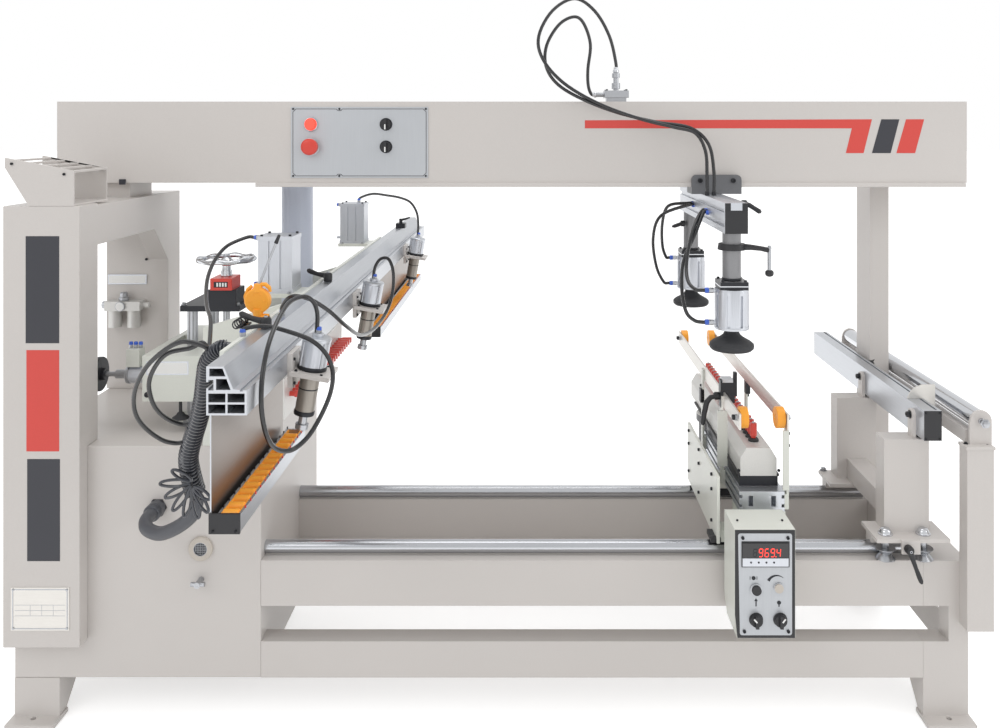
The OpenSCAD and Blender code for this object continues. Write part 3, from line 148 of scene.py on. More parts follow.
# Finishes, each under the record's slot that it belongs to
SLOTS = {
    "frame_paint": {
        "paint": finish_of("frame_paint", (205, 200, 196), 0.42, tint=0.025, bump=0.05, coat=0.15),
        "white": finish_of("white_film", (238, 238, 236), 0.45, tint=0.02),
    },
    "green_white_paint": {
        "green": finish_of("green_white_paint", (218, 220, 212), 0.42, tint=0.03, bump=0.06, coat=0.15),
    },
    "grey_panel": {
        "panel": finish_of("grey_panel", (186, 189, 193), 0.38, 0.35, (900, 900, 12), bump=0.03),
    },
    "column_paint": {
        "column": finish_of("column_paint", (196, 203, 218), 0.35, tint=0.03, bump=0.04, coat=0.2),
    },
    "aluminium": {
        "alu": finish_of("aluminium_along_y", (197, 200, 205), 0.34, 0.85, (900, 8, 900), 0.08, 0.10),
        "sheet": finish_of("brushed_sheet", (128, 120, 114), 0.30, 0.9, (900, 10, 900), 0.12, 0.08),
    },
    "cylinder_aluminium": {
        "alu_z": finish_of("cylinder_aluminium", (200, 203, 209), 0.36, 0.8, (900, 900, 8), 0.07, 0.10),
        "taupe": finish_of("taupe_tube", (158, 152, 144), 0.38, 0.6, (900, 900, 8), 0.06, 0.06),
    },
    "head_aluminium": {
        "cast": finish_of("head_aluminium", (214, 213, 210), 0.48, 0.45, (500, 500, 500), 0.06, 0.16),
        "beige": finish_of("beige_knob", (196, 188, 178), 0.4, bump=0.04),
    },
    "steel": {
        "steel": finish_of("turned_steel", (176, 178, 182), 0.28, 0.95, (700, 700, 60), 0.10, 0.08),
        "tube": finish_of("grey_tube", (142, 142, 144), 0.40, 0.5, bump=0.06),
    },
    "chrome": {
        "chrome": finish_of("polished_chrome", (208, 210, 214), 0.14, 1, (40, 900, 900), bump=0.03,
                            spread=0.4),
        "rail": finish_of("ground_rail", (190, 192, 196), 0.22, 1, (12, 900, 900), 0.08, 0.06),
    },
    "plate_metal": {
        "plate": finish_of("brushed_plate", (216, 213, 208), 0.36, 0.7, (30, 900, 900), 0.06, 0.06),
    },
    "black_plastic": {
        "black": finish_of("black_plastic", (38, 38, 41), 0.46, grain=(900, 900, 900), tint=0.12, bump=0.14),
        "film_black": finish_of("black_film", (52, 53, 60), 0.42, bump=0.03),
        "blue": finish_of("blue_collet", (58, 100, 205), 0.36, tint=0.06, bump=0.03, coat=0.2),
        "lens": finish_of("display_lens", (28, 26, 30), 0.12, bump=0, coat=0.5),
    },
    "black_metal": {
        "oxide": finish_of("black_metal", (46, 47, 51), 0.40, 0.5, tint=0.10, bump=0.10),
        "graphite": finish_of("graphite_paint", (106, 107, 110), 0.45, 0.1, tint=0.06, bump=0.14),
    },
    "hose_black": {
        "hose": finish_of("hose_black", (30, 31, 34), 0.26, tint=0.10, coat=0.3),
        "wrap": finish_of("wrap_black", (50, 53, 61), 0.22, tint=0.10, coat=0.6),
    },
    "conduit_grey": {
        "conduit": finish_of("conduit_grey", (74, 76, 82), 0.38, tint=0.08, bump=0.05, coat=0.1),
    },
    "rubber_black": {
        "rubber": finish_of("rubber_black", (46, 47, 50), 0.62, grain=(700, 700, 700), tint=0.12, bump=0.20),
    },
    "orange_plastic": {
        "orange": finish_of("orange_plastic", (250, 168, 52), 0.40, grain=(600, 600, 600), bump=0.06),
        # Orange plastic made brighter and glowing a little: painted light for the track rollers, which lie
        # in the fence's shade
        "amber": finish_of("glowing_orange_roller", (255, 172, 62), 0.42, tint=0.04, bump=0.05, glow=0.10),
    },
    "red_plastic": {
        "red": finish_of("red_plastic", (214, 62, 48), 0.34, tint=0.06, bump=0.05, coat=0.2),
        "film_red": finish_of("red_film", (214, 74, 66), 0.40, tint=0.03),
    },
    "red_lamp": {
        "lamp": finish_of("lamp_lens", (255, 78, 58), 0.22, tint=0.08, coat=0.6, glow=0.55),
        "digit": finish_of("display_digit", (255, 70, 60), 0.4, tint=0.02, bump=0, glow=1),
    },
}
MATERIAL = {key: material for group in SLOTS.values() for key, material in group.items()}


def curve_through(points, steps):
    """Smooth path through the points of a route"""
    path = []
    last = len(points) - 1
    for i in range(last):
        a, b, c, d = (Vector(points[min(max(k, 0), last)]) for k in (i - 1, i, i + 1, i + 2))
        bend, twist = 2 * a - 5 * b + 4 * c - d, 3 * b - a - 3 * c + d
        for k in range(steps):
            t = k / steps
            path.append(0.5 * (2 * b + (c - a) * t + bend * t * t + twist * t**3))
    path.append(Vector(points[last]))
    return path


def round_edges(obj, width):
    """Narrow rounding of an object's sharp edges"""
    mod = obj.modifiers.new("edges", "BEVEL")
    mod.width = width * MM
    mod.segments = 2
    mod.limit_method = "ANGLE"
    mod.angle_limit = math.radians(40)
    mod.harden_normals = True


def put(name, bm, body, finishes, bevel):
    """Object from a mesh in millimetres, on its body, with its finishes"""
    bmesh.ops.recalc_face_normals(bm, faces=bm.faces)
    mesh = bpy.data.meshes.new(name)
    for vert in bm.verts:
        vert.co *= MM
    bm.to_mesh(mesh)
    bm.free()
    obj = bpy.data.objects.new(name, mesh)
    scene.collection.objects.link(obj)
    for key in finishes:
        mesh.materials.append(MATERIAL[key])
    mesh.polygons.foreach_set("use_smooth", [True] * len(mesh.polygons))
    mesh.set_sharp_from_angle(angle=math.radians(35))
    if bevel:
        round_edges(obj, bevel)
    if body:
        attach(obj, body)
    return obj


class Kit:
    """Small shapes in millimetres gathered into one piece"""

    def __init__(self, name, body, *finishes, bevel=0):
        self.name = name
        self.body = body
        self.finishes = finishes
        self.bevel = bevel
        self.bm = bmesh.new()

    def mark(self, faces, key):
        """Give faces one of the piece's finishes"""
        for face in faces:
            face.material_index = self.finishes.index(key)

    def skin(self, rings, key):
        """Faces between closed rings of points, with a cap at either end"""
        rings = [[self.bm.verts.new(p) for p in ring] for ring in rings]
        faces = []
        for low, high in zip(rings, rings[1:]):
            for k in range(len(low)):
                m = (k + 1) % len(low)
                faces.append(self.bm.faces.new((low[k], low[m], high[m], high[k])))
        faces.append(self.bm.faces.new(rings[0][::-1]))
        faces.append(self.bm.faces.new(rings[-1]))
        self.mark(faces, key)

    def box(self, x, y, z, key):
        made = bmesh.ops.create_cube(self.bm, size=1)["verts"]
        for vert in made:
            vert.co = (x[vert.co.x > 0], y[vert.co.y > 0], z[vert.co.z > 0])
        self.mark({f for v in made for f in v.link_faces}, key)

    def rod(self, a, b, d, key, d2=None, sides=28):
        """Rod from a to b, d wide at a and d2 wide at b"""
        a, b = Vector(a), Vector(b)
        axis = b - a
        place = Matrix.Translation((a + b) / 2) @ axis.to_track_quat("Z", "Y").to_matrix().to_4x4()
        made = bmesh.ops.create_cone(
            self.bm, cap_ends=True, segments=sides, radius1=d / 2, radius2=(d if d2 is None else d2) / 2,
            depth=axis.length, matrix=place,
        )["verts"]
        self.mark({f for v in made for f in v.link_faces}, key)

    def lathe(self, profile, at, axis, key, sides=40):
        """Turned shape: (radius, height) pairs about an axis"""
        spin = Vector(axis).to_track_quat("Z", "Y").to_matrix()
        rings = []
        for radius, height in profile:
            ring = []
            for k in range(sides):
                a = 2 * math.pi * k / sides
                ring.append(Vector(at) + spin @ Vector((radius * math.cos(a), radius * math.sin(a), height)))
            rings.append(ring)
        self.skin(rings, key)

    def plate(self, points, thick, origin, key, right=RIGHT, up=UP):
        """Outline of (across, up) points, thickened along right x up"""
        base = [Vector(origin) + right * across + up * height for across, height in points]
        self.skin([base, [p + right.cross(up) * thick for p in base]], key)

    def tube(self, path, radius, key, sides=12):
        """Tube along a path, its radius one number or one for each point"""
        path = [Vector(p) for p in path]
        normal = Vector((0.3, 0.9, 0.2))
        rings = []
        for i, point in enumerate(path):
            tangent = (path[min(i + 1, len(path) - 1)] - path[max(i - 1, 0)]).normalized()
            normal = (normal - tangent * normal.dot(tangent)).normalized()
            side = tangent.cross(normal)
            r = radius[i] if isinstance(radius, list) else radius
            rings.append([
                point + r * (math.cos(a) * normal + math.sin(a) * side)
                for a in (2 * math.pi * k / sides for k in range(sides))
            ])
        self.skin(rings, key)

    def screw(self, at, axis, d, key, washer=False):
        """Socket-head screw, on a washer if asked"""
        at, axis = Vector(at), Vector(axis)
        if washer:
            self.rod(at, at + axis * 0.12 * d, 1.5 * d, key)
            at = at + axis * 0.12 * d
        head = ((0.5, 0), (0.5, 0.5), (0.46, 0.58), (0.28, 0.58), (0.26, 0.25))
        self.lathe([(radius * d, height * d) for radius, height in head], at, axis, key, 20)

    def screws(self, x, y, z, axis, d, key):
        """Socket-head screws at every place that the given coordinates make"""
        for at in product(x, y, z):
            self.screw(at, axis, d, key)

    def hex_bolt(self, at, axis, d, key):
        """Hexagon head with a chamfer, on a washer"""
        washer, head, top = (Vector(at) + axis * height * d for height in (0.12, 0.52, 0.6))
        self.rod(at, washer, 1.35 * d, key)
        self.rod(washer, head, d, key, sides=6)
        self.rod(head, top, 0.86 * d, key, 0.6 * d, 24)

    def fitting(self, at, out, foot, collet):
        """Push-in fitting: hexagon foot (length, width) and blue collet (length, width, end width)"""
        seat = Vector(at) + out * foot[0]
        self.rod(at, seat, foot[1], "steel", sides=6)
        self.rod(seat, seat + out * collet[0], collet[1], "blue", collet[2])

    def lever(self, at, axis, toward, length, hub, key):
        """Clamping lever: hub on its screw and a tapered, raised arm"""
        at, axis, toward = Vector(at), Vector(axis).normalized(), Vector(toward).normalized()
        profile = [
            (hub * 0.42, 0), (hub / 2, 3), (hub / 2, hub * 0.75), (hub * 0.4, hub * 0.95), (hub * 0.16, hub),
        ]
        self.lathe(profile, at, axis, key, 28)
        start = at + axis * hub * 0.62
        path = [start + toward * length * t + axis * (14 * t * t) for t in (0.08, 0.3, 0.55, 0.8, 0.94, 1.0)]
        self.tube(path, [hub * share for share in (0.34, 0.27, 0.24, 0.28, 0.26, 0.12)], key, 14)

    def done(self):
        return put(self.name, self.bm, self.body, self.finishes, self.bevel)


# Cords: the same routes as in the part's source, in metres
CONDUIT = [
    (-0.8830, -0.3478, 0.5630), (-0.8830, -0.3720, 0.5630), (-0.8810, -0.4020, 0.5600),
    (-0.8640, -0.4300, 0.5530), (-0.8230, -0.4550, 0.5530), (-0.7790, -0.4750, 0.5740),
    (-0.7425, -0.4880, 0.6010), (-0.7210, -0.4960, 0.6280), (-0.7142, -0.5000, 0.6625),
]
BUNDLE = [
    (-0.7142, -0.5000, 0.6625), (-0.7191, -0.5200, 0.7119), (-0.7165, -0.5500, 0.7761),
    (-0.6911, -0.5900, 0.8375), (-0.6589, -0.6400, 0.9003), (-0.6320, -0.6900, 0.9610),
    (-0.6116, -0.7350, 1.0181), (-0.5906, -0.7760, 1.0660), (-0.5560, -0.8060, 1.0990),
    (-0.5325, -0.8060, 1.1000),
]
HOSES = {
    "beam_hose_outer": [
        (0.3680, 0.0940, 1.7388), (0.3675, 0.0930, 1.7700), (0.3460, 0.0760, 1.8500),
        (0.3000, 0.0600, 1.9250), (0.2380, 0.0400, 1.9600), (0.1700, 0.0100, 1.9200),
        (0.1280, -0.0200, 1.8400), (0.1400, -0.0400, 1.7700), (0.2000, -0.0520, 1.7000),
        (0.3000, -0.0580, 1.6400), (0.4200, -0.0620, 1.5950), (0.5200, -0.0660, 1.5700),
        (0.5840, -0.0720, 1.5520), (0.6120, -0.0800, 1.5000), (0.6160, -0.0840, 1.4300),
        (0.6160, -0.0840, 1.3714),
    ],
    "beam_hose_inner": [
        (0.3074, 0.0940, 1.6700), (0.2920, 0.0940, 1.6720), (0.2820, 0.0910, 1.7000),
        (0.2810, 0.0880, 1.7500), (0.2880, 0.0800, 1.8250), (0.2660, 0.0640, 1.8880),
        (0.2360, 0.0500, 1.9060), (0.1900, 0.0300, 1.8800), (0.1520, 0.0050, 1.8150),
        (0.1500, -0.0200, 1.7500), (0.1850, -0.0400, 1.6950), (0.2600, -0.0500, 1.6500),
        (0.3600, -0.0540, 1.6120), (0.4700, -0.0560, 1.5850), (0.5700, -0.0620, 1.5680),
        (0.6220, -0.0760, 1.5200), (0.6360, -0.0840, 1.4400), (0.6360, -0.0840, 1.3714),
    ],
    "fence_hose_near": [
        (-0.3860, -0.6500, 1.1006), (-0.3840, -0.6520, 1.1400), (-0.3900, -0.6620, 1.1700),
        (-0.4060, -0.6860, 1.1880), (-0.4260, -0.7350, 1.1840), (-0.4330, -0.8000, 1.1600),
        (-0.4340, -0.8700, 1.1220), (-0.4340, -0.9120, 1.0700), (-0.4330, -0.9220, 1.0100),
        (-0.4300, -0.9000, 0.9500), (-0.4220, -0.8620, 0.9080), (-0.4000, -0.8220, 0.8900),
        (-0.3720, -0.7950, 0.9080), (-0.3500, -0.7650, 0.9450), (-0.3370, -0.7300, 0.9850),
        (-0.3360, -0.7120, 1.0250), (-0.3500, -0.7120, 1.0640), (-0.3820, -0.7160, 1.0960),
        (-0.4300, -0.7200, 1.1160), (-0.4800, -0.7260, 1.1300), (-0.5220, -0.7410, 1.1280),
        (-0.5260, -0.7440, 1.1136),
    ],
    "fence_hose_middle": [
        (-0.3860, 0.1100, 1.1006), (-0.3800, 0.1100, 1.1350), (-0.3620, 0.1040, 1.1600),
        (-0.3360, 0.0900, 1.1620), (-0.3180, 0.0660, 1.1300), (-0.3140, 0.0400, 1.0800),
        (-0.3200, 0.0000, 1.0350), (-0.3320, -0.0750, 1.0060), (-0.3420, -0.1900, 1.0000),
        (-0.3500, -0.3200, 1.0200), (-0.3620, -0.4300, 1.0660), (-0.3900, -0.5050, 1.1200),
        (-0.4300, -0.5350, 1.1540), (-0.4740, -0.5320, 1.1600), (-0.5040, -0.5040, 1.1300),
        (-0.5050, -0.5000, 1.1087),
    ],
    "fence_hose_rear": [
        (-0.3860, 1.2450, 1.1006), (-0.3840, 1.2450, 1.1500), (-0.3900, 1.2400, 1.2000),
        (-0.4150, 1.2250, 1.2450), (-0.4550, 1.1900, 1.2680), (-0.5050, 1.1400, 1.2820),
        (-0.5550, 1.0850, 1.2920), (-0.5960, 1.0300, 1.2800), (-0.6000, 1.0220, 1.2646),
    ],
    "cylinder_hose": [
        (-0.6817, -0.1400, 1.2560), (-0.7020, -0.1430, 1.2565), (-0.7380, -0.2000, 1.2400),
        (-0.7440, -0.2800, 1.2140), (-0.7320, -0.3700, 1.1840), (-0.7060, -0.4600, 1.1580),
        (-0.6720, -0.5500, 1.1380), (-0.6342, -0.6338, 1.1220), (-0.5999, -0.7435, 1.0816),
        (-0.5980, -0.7550, 1.0706),
    ],
    "end_hose_outer": [
        (-0.5830, -0.8023, 1.0986), (-0.5951, -0.8075, 1.1076), (-0.6300, -0.8140, 1.1160),
        (-0.6709, -0.8000, 1.0976), (-0.7216, -0.7750, 1.0554), (-0.7571, -0.7450, 1.0064),
        (-0.7770, -0.7150, 0.9605), (-0.7801, -0.6900, 0.9183), (-0.7702, -0.6600, 0.8804),
        (-0.7500, -0.6250, 0.8447), (-0.7312, -0.5981, 0.8283), (-0.7169, -0.5910, 0.8270),
    ],
    "end_hose_inner": [
        (-0.5857, -0.7949, 1.0983), (-0.5967, -0.7961, 1.1099), (-0.6220, -0.7940, 1.0980),
        (-0.6723, -0.7850, 1.0852), (-0.7076, -0.7650, 1.0529), (-0.7325, -0.7400, 1.0096),
        (-0.7373, -0.7150, 0.9652), (-0.7330, -0.6900, 0.9318), (-0.7214, -0.6600, 0.9032),
        (-0.7023, -0.6388, 0.8861), (-0.6876, -0.6327, 0.8842),
    ],
    "press_hose_1": [
        (0.6099, -0.1100, 1.3300), (0.5980, -0.1100, 1.3300), (0.5720, -0.1500, 1.3020),
        (0.5480, -0.1900, 1.2500), (0.5320, -0.2260, 1.1900), (0.5300, -0.2660, 1.1520),
        (0.5440, -0.2960, 1.1360), (0.5630, -0.3000, 1.1340), (0.5779, -0.3000, 1.1340),
    ],
    "press_hose_2": [
        (0.6099, -0.1320, 1.3260), (0.5970, -0.1320, 1.3260), (0.5620, -0.1760, 1.2620),
        (0.5280, -0.2060, 1.2000), (0.5160, -0.2460, 1.1300), (0.5200, -0.2880, 1.0760),
        (0.5400, -0.3000, 1.0540), (0.5630, -0.3000, 1.0490), (0.5779, -0.3000, 1.0490),
    ],
    "press_hose_3": [
        (0.6099, 0.1200, 1.3320), (0.5940, 0.1200, 1.3320), (0.5400, 0.1600, 1.3200),
        (0.5300, 0.2200, 1.2600), (0.5400, 0.2900, 1.1800), (0.5560, 0.3180, 1.1370),
        (0.5660, 0.3200, 1.1340), (0.5779, 0.3200, 1.1340),
    ],
    "press_hose_4": [
        (0.6099, 0.0980, 1.3280), (0.5920, 0.0980, 1.3280), (0.5150, 0.1500, 1.2900),
        (0.5000, 0.2200, 1.2100), (0.5200, 0.2900, 1.1100), (0.5480, 0.3180, 1.0540),
        (0.5640, 0.3200, 1.0490), (0.5779, 0.3200, 1.0490),
    ],
}
HOSE_D, CONDUIT_D, WRAP_D = 10, 34, 40


def cord_piece(name, route, steps, radius, finish, node, body, sides=14):
    """Tube along a route that takes the place of a CAD node"""
    path = curve_through([Vector(p) / MM for p in route], steps)
    kit = Kit(name, body, finish)
    kit.tube(path, radius, finish, sides)
    piece = kit.done()
    if not body:
        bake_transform(piece)
    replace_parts(piece, node)


# Node and body of the hoses whose names start so; the beam's hoses are on no body
HOSE_GROUPS = {"beam": ("beam_hoses", None), "press": ("press_hoses", "clamp_carriage")}
for name, route in HOSES.items():
    node, body = HOSE_GROUPS.get(name.split("_")[0], ("air_hoses", "machine"))
    cord_piece(name, route, 6, HOSE_D / 2, "hose", node, body)
cord_piece("conduit", CONDUIT, 8, CONDUIT_D / 2, "conduit", "cable_run", "machine", 24)

# The wrap tapers along its way, has ribs four steps long, and is thin and plain at either end
WRAP_RADIUS, WRAP_TAPER, WRAP_RIB = 23.4, 9, 2.4
WRAP_STEPS, WRAP_ENDS, WRAP_END_RADIUS = 26, 12, 13
last = (len(BUNDLE) - 1) * WRAP_STEPS
wrap_radii = []
for i in range(last + 1):
    rib = WRAP_RIB if i % 4 < 2 else -WRAP_RIB
    is_end = i < WRAP_ENDS or i > last - WRAP_ENDS
    wrap_radii.append(WRAP_END_RADIUS if is_end else WRAP_RADIUS - WRAP_TAPER * (i / last) + rib)
cord_piece("wrapped_bundle", BUNDLE, WRAP_STEPS, wrap_radii, "wrap", "cable_run", "machine",
           18)


# CAD nodes: rounded copies with their finishes
def inside(c, x=None, y=None, z=None):
    """Whether a point is within the ranges given"""
    return all(s is None or s[0] <= v <= s[1] for v, s in zip(c, (x, y, z)))


def dress(node, finishes, bevel, rule=None):
    """Copy of a CAD node with rounded edges; rule gives the finish of a face from its middle in mm"""
    bm = bmesh.new()
    bm.from_mesh(frame["nodes"][node].data)
    bmesh.ops.remove_doubles(bm, verts=bm.verts, dist=2e-5)
    bmesh.ops.dissolve_limit(bm, angle_limit=math.radians(0.8), verts=bm.verts, edges=bm.edges)
    for vert in bm.verts:
        vert.co /= MM
    for face in bm.faces:
        face.material_index = finishes.index(rule(face.calc_center_median())) if rule else 0
    body = next(b for b, names in frame["record"]["behaviour"]["bodies"].items() if node in names)
    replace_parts(put(node + "_shape", bm, body, finishes, bevel), node)


PLAIN = {
    "base_frame": ("paint", 2.0), "cabinet": ("paint", 3.0), "left_portal": ("paint", 3.0),
    "slatted_tray": ("paint", 0.8), "nameplate": ("plate", 0.4), "control_panel": ("panel", 0.6),
    "guide_rails": ("rail", 1.0), "fence_rail": ("alu", 0.4), "fence_brackets": ("green", 1.2),
    # The track rollers take the brighter, glowing orange: painted light against the fence's shade
    "fence_cylinders": ("alu_z", 1.0), "track_rollers": ("amber", 0.5), "stop_button": ("red", 1.5),
    "selector_upper": ("black", 1.2), "selector_lower": ("black", 1.2), "clamp_rod_front": ("steel", 0.8),
    "clamp_rod_middle": ("steel", 0.8), "clamp_rod_rear": ("steel", 0.8), "side_roller": ("chrome", 1.0),
    "v_wheel_left": ("steel", 0.8), "v_wheel_right": ("steel", 0.8), "push_button": ("black", 1.2),
    "knob_left": ("black", 1.4), "knob_right": ("black", 1.4), "arm_wheel_1": ("orange", 1.5),
    "arm_wheel_2": ("orange", 1.5), "arm_wheel_3": ("orange", 1.5), "arm_wheel_4": ("orange", 1.5),
    "depth_knob": ("oxide", 1.5), "drill_chucks": ("red", 0.8), "drive_spindle": ("red", 0.8),
}
for node, (key, bevel) in PLAIN.items():
    dress(node, (key,), bevel)

# Places that the rules and the trim share
CLAMP_Y = (-650, 110, 1245)
CLAMP_X, CLAMP_Z = -398, 1011
CLAMP_LEAN = 10
WHEEL_X = (1045, 1145)
PRESS_X, PRESS_Y = 640, (-300, 320)


def clamp_finish(c):
    """Cylinders bright above their holder and taupe below it"""
    for y in CLAMP_Y:
        axis = Vector((CLAMP_X + math.tan(math.radians(CLAMP_LEAN)) * (c.z - CLAMP_Z), y))
        if (c.xy - axis).length < 34 and abs(c.z - CLAMP_Z) > 9.5:
            return "taupe" if c.z < 1001 else "alu_z"
    return "paint"


def guide_finish(c):
    """Counter red, top plate black, foot green, rods between them steel"""
    if c.z > 1040.9:
        return "red" if c.z > 1104 else "oxide"
    return "green" if c.z < 743.5 and abs(c.x + 875) > 15.5 else "steel"


def stand_finish(c):
    """Axles of the V wheels steel, above and below the plate that carries them"""
    near = min(abs(c.x - x) for x in WHEEL_X) < 14
    return "steel" if near and c.y < -296 and c.z < 510 and not 478 <= c.z <= 490.5 else "paint"


def base_finish(c):
    """Slides and the rail under the head black, the profile aluminium"""
    if c.z < 464.1 or inside(c, (665.9, 770.1), None, (602, 629.1)):
        return "oxide"
    return "alu" if c.z > 549.9 and c.x > 650 else "green"


def arms_finish(c):
    """Bright bars on green posts and holders"""
    return "plate" if c.z > 771.9 and not inside(c, (780, 800), (-200, 200), (0, 803)) else "green"


def gearbox_finish(c):
    """Cast housing over a graphite motor and steel rods"""
    if c.z >= 629.2:
        return "cast"
    return "graphite" if (c.xy - Vector((718, 272))).length < 69 else "steel"


def left_gearbox_finish(c):
    """Red chucks, cast housing face, graphite motor, steel rods"""
    if c.x > -559.9:
        return "red"
    if -661 < c.x and c.x >= -660.1:
        return "cast"
    return "graphite" if c.x > -861 and (c.yz - Vector((0, 835))).length < 53 else "steel"


def press_finish(c):
    """Graphite plate, black end cap, grey columns on black flanges, aluminium arm and cylinders"""
    if c.z > 1371 and c.y > -40:
        return "graphite"
    if c.y < -354.9 and c.z > 1290:
        return "black"
    if inside(c, (603, 677), None, (1161, 1291)):
        return "tube"
    return "oxide" if inside(c, (602, 678), None, (1139.9, 1161)) else "alu_z"


def slide_finish(c):
    """Aluminium boss at the left of the green slide"""
    return "alu_z" if c.x < -975.2 and abs(c.z - 868) < 26 and abs(c.y + 140) < 26 else "green"


dress("top_beam", ("paint", "steel"), 2.5, lambda c: "steel" if c.z > 1646.5 else "paint")
dress("beam_supports", ("paint", "column"), 1.5, lambda c: "column" if c.x < 0 and c.z > 955.5 else "paint")
dress("panel_lamp", ("lamp", "steel"), 1.0, lambda c: "steel" if c.y > -13.9 else "lamp")
dress("roller_tracks", ("alu", "sheet"), 0.6, lambda c: "sheet" if c.x < -511 else "alu")
dress("clamp_bodies", ("paint", "alu_z", "taupe"), 0.8, clamp_finish)
dress("roller_frame", ("paint",), 1.5)
dress("air_fittings", ("steel", "conduit", "cast"), 0.8,
      lambda c: "cast" if c.z > 900 else "conduit" if c.x < -850 else "steel")
dress("head_guide", ("oxide", "steel", "green", "red"), 1.0, guide_finish)
dress("stand_frame", ("paint", "steel"), 1.5, stand_finish)
dress("stand_bar", ("alu", "black"), 0.8, lambda c: "black" if c.y < -335.9 else "alu")
dress("carriage_base", ("green", "oxide", "alu"), 1.2, base_finish)
dress("carriage_arms", ("plate", "green"), 0.8, arms_finish)
dress("gearbox", ("cast", "graphite", "steel"), 1.5, gearbox_finish)
dress("left_gearbox", ("cast", "graphite", "steel", "red"), 1.5, left_gearbox_finish)
dress("display_box", ("green", "black", "beige"), 1.5,
      lambda c: "beige" if c.y < -473.2 and c.z < 450 else "black" if c.y < -470.2 else "green")
dress("clamp_carriage", ("alu_z", "graphite", "black", "oxide", "tube"), 1.0, press_finish)
dress("height_slide", ("green", "alu_z"), 2.0, slide_finish)
dress("bar_stop", ("plate", "black"), 0.8, lambda c: "black" if c.x > 1192.1 and c.y > -224 else "plate")


# Pieces that are drawn anew: levers, handwheel, crank, air gun, pressing feet
def lever_piece(node, at, axis, toward, length, hub):
    """Clamping lever with a steel screw in its hub"""
    kit = Kit(node + "_shape", node, "black", "steel")
    kit.lever(at, axis, toward, length, hub, "black")
    kit.screw(Vector(at) + axis * (hub - 2), axis, hub * 0.34, "steel")
    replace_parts(kit.done(), node)


def bent(at, out, steps):
    """Path of points, each a reach along out and a height from one place"""
    return [at + out * reach + UP * height for reach, height in steps]


for node, y in (("fence_lever_front", -648), ("fence_lever_middle", 0)):
    lever_piece(node, (-503, y, 1108.3), UP, level(160), 72, 26)
lever_piece("stand_lever", (1087, -355.3, 471), FRONT, upright(-72), 84, 22)

RIM_RADIUS, RIM_Z, RIM_STEPS, GRIPS = 78, 1186, 96, 8
wheel = Kit("handwheel_shape", "handwheel", "chrome", "steel", bevel=0.5)
hub_at = Vector((-780, -80, 0))
rim = []
rim_thick = []
for i in range(RIM_STEPS + 1):
    a = 2 * math.pi * i / RIM_STEPS
    wave = math.cos(GRIPS * a)
    rim.append(hub_at + Vector((RIM_RADIUS * math.cos(a), RIM_RADIUS * math.sin(a), RIM_Z + 1.6 * wave)))
    rim_thick.append(7 + 0.7 * wave)
wheel.tube(rim, rim_thick, "chrome", 14)
for angle in (30, 150, 270):
    spoke = bent(hub_at, level(angle), ((10, 1176), (28, 1178), (50, 1184), (76, RIM_Z)))
    wheel.tube(spoke, [7, 5.5, 5, 4.5], "chrome")
hub = [(16, 1137.5), (16, 1150), (13, 1156), (13, 1168), (17, 1172), (17, 1184), (12, 1190), (9, 1192),
       (9, 1202)]
wheel.lathe(hub, hub_at, UP, "chrome")
wheel.rod(hub_at + UP * 827, hub_at + UP * 1140, 20, "steel")
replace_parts(wheel.done(), "handwheel")

crank = Kit("clamp_crank_shape", "clamp_crank", "black", "steel", bevel=0.8)
crank_at = Vector((PRESS_X, PRESS_Y[0], 1243))
arm = level(-20)
pin_at = crank_at + arm * 98
crank.lathe([(24.7, 0), (37, 0), (37, 3), (35, 16), (24.7, 16), (24.7, 0.1)], crank_at, UP, "black")
crank.tube(bent(crank_at, arm, ((30, 8), (50, 8), (75, 6), (98, 2))), [9, 7.5, 6.5, 7], "black", 14)
crank.rod(pin_at + UP * 8, pin_at + DOWN * 52, 10, "steel")
crank.lathe([(5, 0), (10, 3), (11.5, 9), (10, 15), (4, 18)], pin_at + DOWN * 67, UP, "black")
crank.screw(pin_at + UP * 8, UP, 9, "steel", washer=True)
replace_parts(crank.done(), "clamp_crank")

gun = Kit("air_gun_shape", "machine", "orange", "steel", "black", bevel=1.2)
gun_at = Vector((-547, -560, 1156))
gun.lathe([(12, -11), (27, -10), (31, -6), (31, 6), (27, 10), (12, 11)], gun_at, BACK, "orange", 48)
gun.rod(gun_at + DOWN * 36, gun_at + DOWN * 20, 22, "orange", 30)
gun.rod(gun_at + UP * 20, gun_at + UP * 40, 26, "orange", 18)
gun.tube(bent(gun_at, RIGHT, ((-14, 34), (-24, 26), (-30, 10), (-28, -6), (-20, -18))), 4.5, "orange")
gun.tube(bent(gun_at, RIGHT, ((6, 38), (18, 38), (27, 30), (30, 20))), [5, 5, 5, 3], "orange")
gun.tube(bent(gun_at, RIGHT, ((0, -30), (0, -40), (12, -40), (26, -40))), 8, "orange")
gun.box((-539, -521), (-569, -551), (1112.3, 1120), "orange")
nozzle = gun_at + UP * 30
aim = upright(68)
gun.rod(nozzle, nozzle + aim * 118, 6, "steel")
gun.rod(nozzle + aim * 114, nozzle + aim * 136, 10, "black", 7)
for turn in range(6):
    hole = gun_at + upright(60 * turn) * 17
    gun.rod(hole + FRONT * 10, hole + FRONT * 12, 5, "orange")
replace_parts(gun.done(), "air_gun")

bell = [(8, 0), (44, 0), (53, 2), (58, 7), (59, 13), (58, 18), (51, 24), (40, 30), (30, 36), (23, 42),
        (19, 49), (18, 56), (18, 86), (15, 88), (12, 88)]
for node, y in zip(("press_rod_near", "press_rod_far"), PRESS_Y):
    foot = Kit(node + "_shape", node, "rubber", "steel", bevel=0.4)
    foot.lathe(bell, (PRESS_X, y, 975), UP, "rubber", 56)
    foot.rod((PRESS_X, y, 1060), (PRESS_X, y, 1130), 20, "steel")
    foot.lathe([(10, 0), (14, 1), (14, 6), (10, 7)], (PRESS_X, y, 1063), UP, "steel", 6)
    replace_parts(foot.done(), node)

